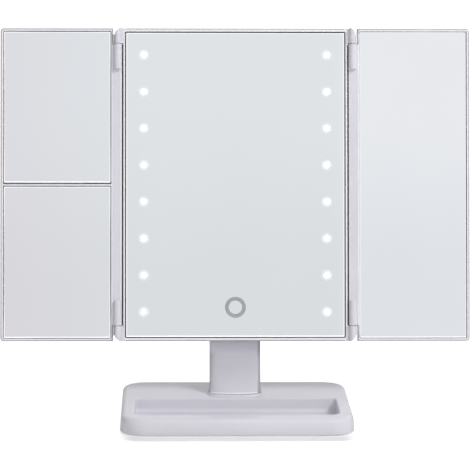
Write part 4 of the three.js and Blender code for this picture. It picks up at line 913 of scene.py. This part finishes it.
def windowShell(across, height, w, sides=36, rows=9):
    # A short peg through the glass that ends in a shallow dome: the drop grows with the radius squared.
    share = np.linspace(1, 0, rows)
    front = w["face"] - w["proud"] + w["dome"] * share ** 2
    profile = [[0, w["back"]], [w["radius"], w["back"]], *np.column_stack([w["radius"] * share, front])]
    return turnedShell(profile, onHead(across, 0, height), headBack, sides)


def lightBarShell(across, heights, w):
    # Bar behind a column of windows: a rounded rectangle in depth, with its edges broken.
    half, end, front, back, edge = (w[key] for key in ("barHalf", "barEnd", "barFront", "barBack", "barEdge"))
    corners = rectangle(across - half, across + half, heights[0] - end, heights[-1] + end)
    places = [(edge, front), (0, front + edge), (0, back - edge), (edge, back)]
    return slabShell(corners, w["barCorner"], places, steps=4)


for side, word in ((-1, "left"), (1, "right")):
    across = side * lights["across"]
    heights = lights["low"] + lights["pitch"] * np.arange(lights["count"])
    shells = [windowShell(across, height, lights) for height in heights]
    shells.append(lightBarShell(across, heights, lights))
    makePiece(f"light_windows_{word}", shells, "milkyWindow", "head", [f"light_strip_{word}"])

ring = {"height": 24.9, "outer": 7.7, "inner": 4.9, "front": 0.5, "back": 1.4, "edge": 0.12}


def ringShell(r, sides=72):
    # A flat band turned about its middle, with both front edges broken.
    inner, outer, front, back, edge = (r[key] for key in ("inner", "outer", "front", "back", "edge"))
    profile = [[inner, back], [outer, back], [outer, front + edge], [outer - edge, front],
               [inner + edge, front], [inner, front + edge], [inner, back]]
    return turnedShell(profile, onHead(0, 0, r["height"]), headBack, sides)


makePiece("touch_ring_print", [ringShell(ring)], "ringPrint", "head", ["touch_ring"])
print("stage: centre panel")

# Wings: frames with their knuckles, glasses and back covers
wing = {
    **panel, "inner": 83.4, "outer": 172.5, "notchAcross": 89.9, "notchLevel": 11.5, "notchMouth": 4.2,
    "innerCorner": 0.4, "web": 1.5, "step": 0.8, "lugRoom": 88.7, "gapShadeLip": 0.45, "overlap": 0.4,
    "pocketInner": 91.2, "pocketOuter": 170.5, "rim": 2.0, "pocketCorner": 0.8, "highlightLip": 0.9, "holeStep": 2,
    "coverDepth": 5.6, "coverOuter": 170.7, "glassFit": 0.06, "upperRadius": 1900, "lowerRadius": 1300,
    "smallEdge": 0.1, "gapShadeLipAt": (0.9, 0.8, 0.2, 0.1),  # the lip's depths, from the back
    "rib": 1.9, "ribWidth": 4.5, "ribEnd": 0.5, "ribBehind": 0.3,
    "ribFront": [(0, 0.27), (0.07, 0.1), (0.25, 0.02)],  # inset and depth of its rounded front
}
wingCover = {"fit": 0.3, "front": 5.9, "edge": 0.4, "corner": 1.5, "lead": 0.3}
knuckle = {"across": 86.5, "ahead": 1.0, "radius": 2.7, "length": 18.4, "start": 11.5, "edge": 0.3}


def wingFrameShell(side, w, ledge, steps=5):
    # A looped section round the notched panel: outside, front, pocket, ledge, opening, cover seat and back.
    top = w["height"]
    low, high = w["notchLevel"], top - w["notchLevel"]
    outer = [[w["notchAcross"], 0], [w["outer"], 0], [w["outer"], top], [w["notchAcross"], top],
             [w["notchAcross"], high], [w["inner"], high], [w["inner"], low], [w["notchAcross"], low]]
    outerRadii = [w["innerCorner"], w["corner"], w["corner"]] + [w["innerCorner"]] * 5

    def hole(outerEdge, inset, *places):
        # Has as many corners as the outside, so four of them lie along its inner side.
        left, right = w["pocketInner"] + inset, outerEdge - inset
        floor, roof = w["rim"] + inset, top - w["rim"] - inset
        corners = [[left, floor], [right, floor], [right, roof], [left, roof],
                   [left, high], [left, high - w["holeStep"]], [left, low + w["holeStep"]], [left, low]]
        return outlineRings(corners, [w["pocketCorner"]] * 4 + [meshing["smallestRadius"]] * 4, places, steps)

    rings = outsideRings(outer, outerRadii, w, steps)
    # a strip of the front face next to the glass takes the paler tone: painted highlight
    rings += hole(w["pocketOuter"], 0, (-w["highlightLip"], 0), (-w["arris"], 0), (0, w["arris"]), (0, ledge))
    rings += hole(w["pocketOuter"], w["ledgeWidth"], (0, ledge), (0, w["coverDepth"]))
    rings += hole(w["coverOuter"], 0, (0, w["coverDepth"]), (0, w["depth"]))
    return shellOnHead(rings, side, looped=True, zones=[1] * 8 + [0, 2, 2] + [0] * 6)


def knuckleShell(side, atTop, k, sides=48):
    # Turned about the pin, with both ends broken.
    radius, length, edge = k["radius"], k["length"], k["edge"]
    profile = [[0, 0], [radius - edge, 0], [radius, edge],
               [radius, length - edge], [radius - edge, length], [0, length]]
    start = onHead(side * k["across"], -k["ahead"], fromEnd(k["start"] + length * atTop, atTop))
    return turnedShell(profile, start, headUp, sides)


def ribShells(w, ledge):
    # Bar between the two round-backed glasses: narrow in front, wide behind them.
    left, right = -w["pocketOuter"] - w["ribEnd"], -w["pocketInner"] + w["ribEnd"]

    def bar(half, places, zones=None):
        corners = rectangle(left, right, headPlace["halfHeight"] - half, headPlace["halfHeight"] + half)
        return slabShell(corners, meshing["smallestRadius"], places, zones=zones)

    return [bar(w["rib"] / 2, [(0, ledge + w["ribBehind"]), *w["ribFront"]], [3] * 3),
            bar(w["rib"] / 2 + w["ribWidth"], [(0, ledge), (0, w["coverDepth"])])]


def notchShells(side, atTop, w):
    # What the notch leaves beside its mouth: a thin wall behind the lug, and a step beyond the lug's tip.
    low, high = sorted(fromEnd(level, atTop) for level in (w["notchMouth"], w["notchLevel"] + w["overlap"]))
    edge, chamfer, depth = w["smallEdge"], w["chamfer"], w["depth"]

    def bar(nearest, front):
        corners = rectangle(nearest, w["notchAcross"] + w["overlap"], low, high)
        places = [(edge, front), (0, front + edge), (0, depth - chamfer), (chamfer, depth)]
        # these bars take the paler tone: painted highlight that lifts the shade the lug casts on them
        return slabShell(corners, edge, places, side, [2] * 3)

    return [bar(w["inner"], depth - w["web"]), bar(w["lugRoom"], w["step"])]


def gapShadeLipShell(side, w):
    # Low lip along the rear of a wing's inner side, so that nothing shows through the gap beside it and the
    # gap stays dark: a sheet put where there is shade, with the edge finish's painted shade.
    inner, edge, level = w["inner"], w["smallEdge"], w["notchLevel"]
    corners = rectangle(inner - w["gapShadeLip"], inner + w["overlap"], level, w["height"] - level)
    places = [(inset, w["depth"] - back) for inset, back in zip((edge, 0, 0, edge), w["gapShadeLipAt"])]
    return slabShell(corners, edge, places, side, [1] * 3)


def wingCoverShell(side, w, c):
    # A plate with a rounded edge at the back.
    corners = rectangle(w["pocketInner"] + c["fit"], w["coverOuter"] - c["fit"],
                        w["rim"] + c["fit"], w["height"] - w["rim"] - c["fit"])
    rounded = [(inset, w["depth"] - drop) for inset, drop in edgeRound(c["edge"], steps=4)]
    places = [(0, c["front"]), *rounded, (c["edge"] + c["lead"], w["depth"])]
    return slabShell(corners, c["corner"], places, side, steps=5)


def bowlDepth(across, height, g):
    # Concave face, level with the flat ones at its corners. Further in it is deeper by the corner's distance
    # from the middle squared, less the point's own distance squared, over twice the radius of curvature.
    middle, reach = (np.array(g["low"]) + g["high"]) / 2, (np.array(g["high"]) - g["low"]) / 2
    apart = (across - middle[0]) ** 2 + (height - middle[1]) ** 2
    return g["face"] + ((reach ** 2).sum() - apart) / (2 * g["radius"])


def sidePoints(ring, steps, count):
    # The ring with evenly spaced points added between the end of each corner's arc and the start of the next.
    arcs = ring.reshape(4, steps + 1, 2)
    share = np.linspace(0, 1, count + 2)[1:-1, None]
    ends, starts = arcs[:, -1:], np.roll(arcs, -1, 0)[:, :1]
    return np.concatenate([arcs, ends + (starts - ends) * share], 1).reshape(-1, 2)


def bowlGlassShell(g):
    # Back and front rings drawn in towards the middle, each point at the bowl's own depth for its place.
    middle = (np.array(g["low"]) + g["high"]) / 2
    shrink, steps = np.linspace(0, 1, g["rows"]), g["cornerSteps"]

    def ring(inset, extra, share=1.0):
        flat = sidePoints(outlineRing(glassCorners(g), g["corner"], inset, steps), steps, g["sideSteps"])
        across, height = (middle + (flat - middle) * share).T
        return np.column_stack([across, bowlDepth(across, height, g) + extra, height])

    rings = [ring(g["backInset"], g["thickness"], share) for share in shrink]
    rings += [ring(0, g["thickness"] - g["arris"]), ring(0, g["bevelDrop"] + g["arris"])]
    rings.append(ring(g["grind"], g["bevelDrop"]))
    rings += [ring(g["bevel"], 0, share) for share in shrink[::-1]]
    return shellOnHead(rings, zones=[1] * (g["rows"] + 2) + [2] + [0] * (g["rows"] - 1))


def wingGlass(low, high, **more):
    # Values of a wing's glass between two opposite corners.
    return {**glassShape, "low": low, "high": high, "thickness": 2.0,
            "grind": 0.5, "bevel": 1.2, "bevelDrop": 0.2, "backInset": 0.2,
            "rows": 13, "cornerSteps": 4, "sideSteps": 14, **more}


fit, middle, halfRib = wing["glassFit"], headPlace["halfHeight"], wing["rib"] / 2
inside, outside = wing["pocketInner"] + fit, wing["pocketOuter"] - fit
floor, roof = wing["rim"] + fit, wing["height"] - wing["rim"] - fit
lowerGlass = wingGlass((-outside, floor), (-inside, middle - halfRib - fit), radius=wing["lowerRadius"])
upperGlass = wingGlass((-outside, middle + halfRib + fit), (-inside, roof), radius=wing["upperRadius"])
rightGlass = wingGlass((inside, floor), (outside, roof))
flatLedge = rightGlass["face"] + rightGlass["thickness"] + seatGap
bowlLedge = flatLedge + ((middle - halfRib - wing["rim"]) / 2) ** 2 / (2 * wing["lowerRadius"])

for side, word, ledge in ((-1, "left", bowlLedge), (1, "right", flatLedge)):
    body, zones = f"{word}_wing", list(mouldingZones)
    shells = [wingFrameShell(side, wing, ledge)]
    shells += [knuckleShell(side, atTop, knuckle) for atTop in (False, True)]
    shells += [shell for atTop in (False, True) for shell in notchShells(side, atTop, wing)]
    # the lip keeps the gap dark: a sheet with painted shade
    shells.append(gapShadeLipShell(side, wing))
    if side < 0:
        shells += ribShells(wing, ledge)
        zones.append("ribLightAndShade")
    makePiece(f"{body}_moulding", shells, zones, body, [f"{body}_frame"])
    cover = wingCoverShell(side, wing, wingCover)
    makePiece(f"{body}_cover", [cover], "whitePlastic", body, [f"{body}_back"])
for level, glass in (("upper", upperGlass), ("lower", lowerGlass)):
    makePiece(f"{level}_bowl_glass", [bowlGlassShell(glass)], leftGlassZones, "left_wing",
              [f"{level}_magnifying_mirror"], sharpAngle=8)
makePiece("right_flat_glass", [flatGlassShell(rightGlass)], rightGlassZones, "right_wing", ["right_mirror"],
          sharpAngle=3)
print("stage: wings")

# Back of the head: housing, cover, caps, socket and screws
refinedCopy("rear_housing", "whitePlastic")
refinedCopy("battery_cover", "whitePlastic", bevel=0.15)
refinedCopy("charging_socket", "nickelSteel")
rearScrew = {"across": 74.0, "inset": 9.5, "depth": 13.5, "length": 8.2}
for side, atTop in ends:
    place = f"{'upper' if atTop else 'lower'}_{'left' if side < 0 else 'right'}"
    start = onHead(side * rearScrew["across"], rearScrew["depth"], fromEnd(rearScrew["inset"], atTop))
    screw = screwShell(start, -headBack, rearScrew["length"], screwSize)
    makePiece(f"rear_screw_{place}", [screw], "zincSteel", "head", [f"housing_screw_{place}"])
for node in ("axle_cap_left", "axle_cap_right"):
    refinedCopy(node, "whitePlastic")
print("stage: back")

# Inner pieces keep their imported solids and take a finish
innerFinishes = {
    "castSteel": ["ballast_plate"],
    "zincSteel": ["neck_screw_left", "neck_screw_right", "cover_screw_lower", "cover_screw_upper",
                  "hinge_pin_lower_left", "hinge_pin_upper_left",
                  "hinge_pin_lower_right", "hinge_pin_upper_right", "tilt_axle"],
    "nickelSteel": ["friction_washer_left", "friction_washer_right",
                    "contact_plate_upper", "contact_plate_lower"],
    "copperFoil": ["touch_plate"],
    "greenBoard": ["control_board", "light_board_left", "light_board_right"],
    "cellWrap": ["battery_cell_1", "battery_cell_2", "battery_cell_3", "battery_cell_4"],
}
for finishName, nodes in innerFinishes.items():
    for node in nodes:
        solid = frame["nodes"][node]
        solid.data.materials.clear()
        solid.data.materials.append(finishes[finishName])
print("stage: inner pieces")

# Studio: pale floor, white surroundings with darker sides, and two soft lamps
studio = {
    "floorHalf": 4.0, "floorTone": 0.9, "floorDrift": 0.05, "floorCloud": (0.3, 0, 0.2), "floorRough": 0.9,
    "floorGlow": 0.78, "glossGlow": 0.75, "paintedShadowDarkening": 0.07,
    # contact: the painted shadow's reach, the glow kept under the edge, and its front and side limits
    "contact": {"half": (0.0845, 0.0593), "corner": 0.017, "near": 0.0095, "far": 0.0185, "left": 0.03,
                "rim": 0.0008, "under": 0.5,
                "frontTo": -0.056, "frontFrom": -0.044, "sideFrom": 0.074, "sideTo": 0.096},
    "skyLow": 0.3, "skyRise": 0.27, "sideShare": 0.7, "sideGloss": 0.35, "sideFrom": 0.35, "sideTo": 0.85,
    "rearFrom": -0.6, "rearTo": -0.1,
    "lamps": [
        # place in metres, size, power in watts, and whether gloss and mirrors show it
        ((1.2, -1.15, 1.7), 0.75, 27.0, True),
        ((-0.7, -2.0, 0.5), 0.8, 4.0, False),
    ],
    "aim": (0, 0, 0.13),
}


def grey(level):
    # One level in all three colours.
    return level, level, level, 1


def paintedShadowShare(place, c):
    # Share of painted shadow: high beside the stand's rounded outline and falling to 0 away from it, in front
    # only.
    # Distance outside a rounded rectangle: the length beyond its inner corner, if positive, less the radius.
    across, forward, _ = splitPlace(place)
    squares = []
    for socket, half, middle in zip((across, forward), c["half"], standOrigin * mm):
        beyond = absolute(minus(socket, float(middle)))
        beyond = mathNode("MAXIMUM", minus(beyond, half - c["corner"]), 0.0)
        squares.append(mathNode("POWER", beyond, 2.0))
    apart = minus(mathNode("SQRT", plus(*squares)), c["corner"])
    near = rangeNode(apart, c["near"], c["far"], 1 - c["left"], 0, smooth=True)
    near = times(near, rangeNode(apart, -c["rim"], c["rim"], c["under"], 1))
    front = rangeNode(forward, c["frontTo"], c["frontFrom"], 1, 0)
    middle = rangeNode(absolute(across), c["sideFrom"], c["sideTo"], 1, 0, smooth=True)
    return times(near, times(front, middle))


def seenRays(place):
    # 1 for the rays that the camera sends, straight or through glass, and 1 for those that gloss sends.
    path = addNode(place, "ShaderNodeLightPath").outputs
    straight = plus(path["Is Camera Ray"], path["Is Transmission Ray"], clamp=True)
    return straight, path["Is Glossy Ray"]


def makeFloor(s):
    # Lit floor that also glows for the camera, except for a narrow strip along the stand's front where a
    # shadow is painted: less glow and a darker paint.
    mesh = bpy.data.meshes.new("floor")
    corners = s["floorHalf"] * np.array([(-1, -1, 0), (1, -1, 0), (1, 1, 0), (-1, 1, 0)])
    mesh.from_pydata(corners.tolist(), [], [(0, 1, 2, 3)])
    shader, place = newFinish("paleFloor")
    cloud = driftNode(place, *s["floorCloud"])
    paint = mixColours(cloud, grey(s["floorTone"]), grey(s["floorTone"] + s["floorDrift"]))
    shade = paintedShadowShare(place, s["contact"])
    paint = mixColours(shade, paint, grey(s["floorTone"] * (1 - s["paintedShadowDarkening"])))
    straight, glossy = seenRays(place)
    seen = mathNode("MAXIMUM", straight, times(glossy, s["glossGlow"]))
    glow = times(minus(1.0, shade), s["floorGlow"])
    setSockets(shader, {"Base Color": paint, "Roughness": s["floorRough"], "Specular IOR Level": 0.0,
                        "Emission Color": grey(1), "Emission Strength": times(seen, glow)})
    mesh.materials.append(finishes["paleFloor"])
    floorPlane = addObject("floor", mesh)


def makeSurroundings(s):
    # White for the camera. The light on the object grows from the skyline upwards, with less from the sides.
    # Gloss sees white too, but for darker sides, which fade out towards the front.
    world = bpy.data.worlds.new("whiteRoom")
    world.use_nodes = True
    bpy.context.scene.world = world
    nodes = world.node_tree.nodes
    place = nodes.new("ShaderNodeTexCoord").outputs["Generated"]
    across, forward, height = splitPlace(place)
    sideways = absolute(across)
    rearwards = rangeNode(forward, s["rearFrom"], s["rearTo"], 0, 1, smooth=True)
    darker = rangeNode(sideways, s["sideFrom"], s["sideTo"], 0, 1 - s["sideGloss"], smooth=True)
    gloss = minus(1.0, times(darker, rearwards))
    soft = rangeNode(height, 0, 1, s["skyLow"], s["skyLow"] + s["skyRise"])
    fromSides = rangeNode(sideways, s["sideFrom"], s["sideTo"], 1, s["sideShare"], smooth=True)
    soft = times(soft, fromSides)
    straight, glossy = seenRays(place)
    level = times(glossy, minus(gloss, soft))
    level = plus(level, soft)
    room = times(straight, minus(1.0, level))
    strength = plus(level, room)
    setSockets(nodes["Background"], {"Color": grey(1), "Strength": strength})


def makeLamps(s):
    # Square lamps that all face the aim.
    for number, (place, size, power, shown) in enumerate(s["lamps"], 1):
        data = bpy.data.lights.new(f"lamp{number}", "AREA")
        data.size, data.energy = size, power
        lamp = addObject(f"lamp{number}", data)
        lamp.location = place
        lamp.visible_glossy = shown
        lamp.rotation_euler = (Vector(s["aim"]) - Vector(place)).to_track_quat("-Z", "Y").to_euler()


makeFloor(studio)
makeSurroundings(studio)
makeLamps(studio)
bpy.context.scene.view_settings.view_transform = "Standard"
print("stage: studio")
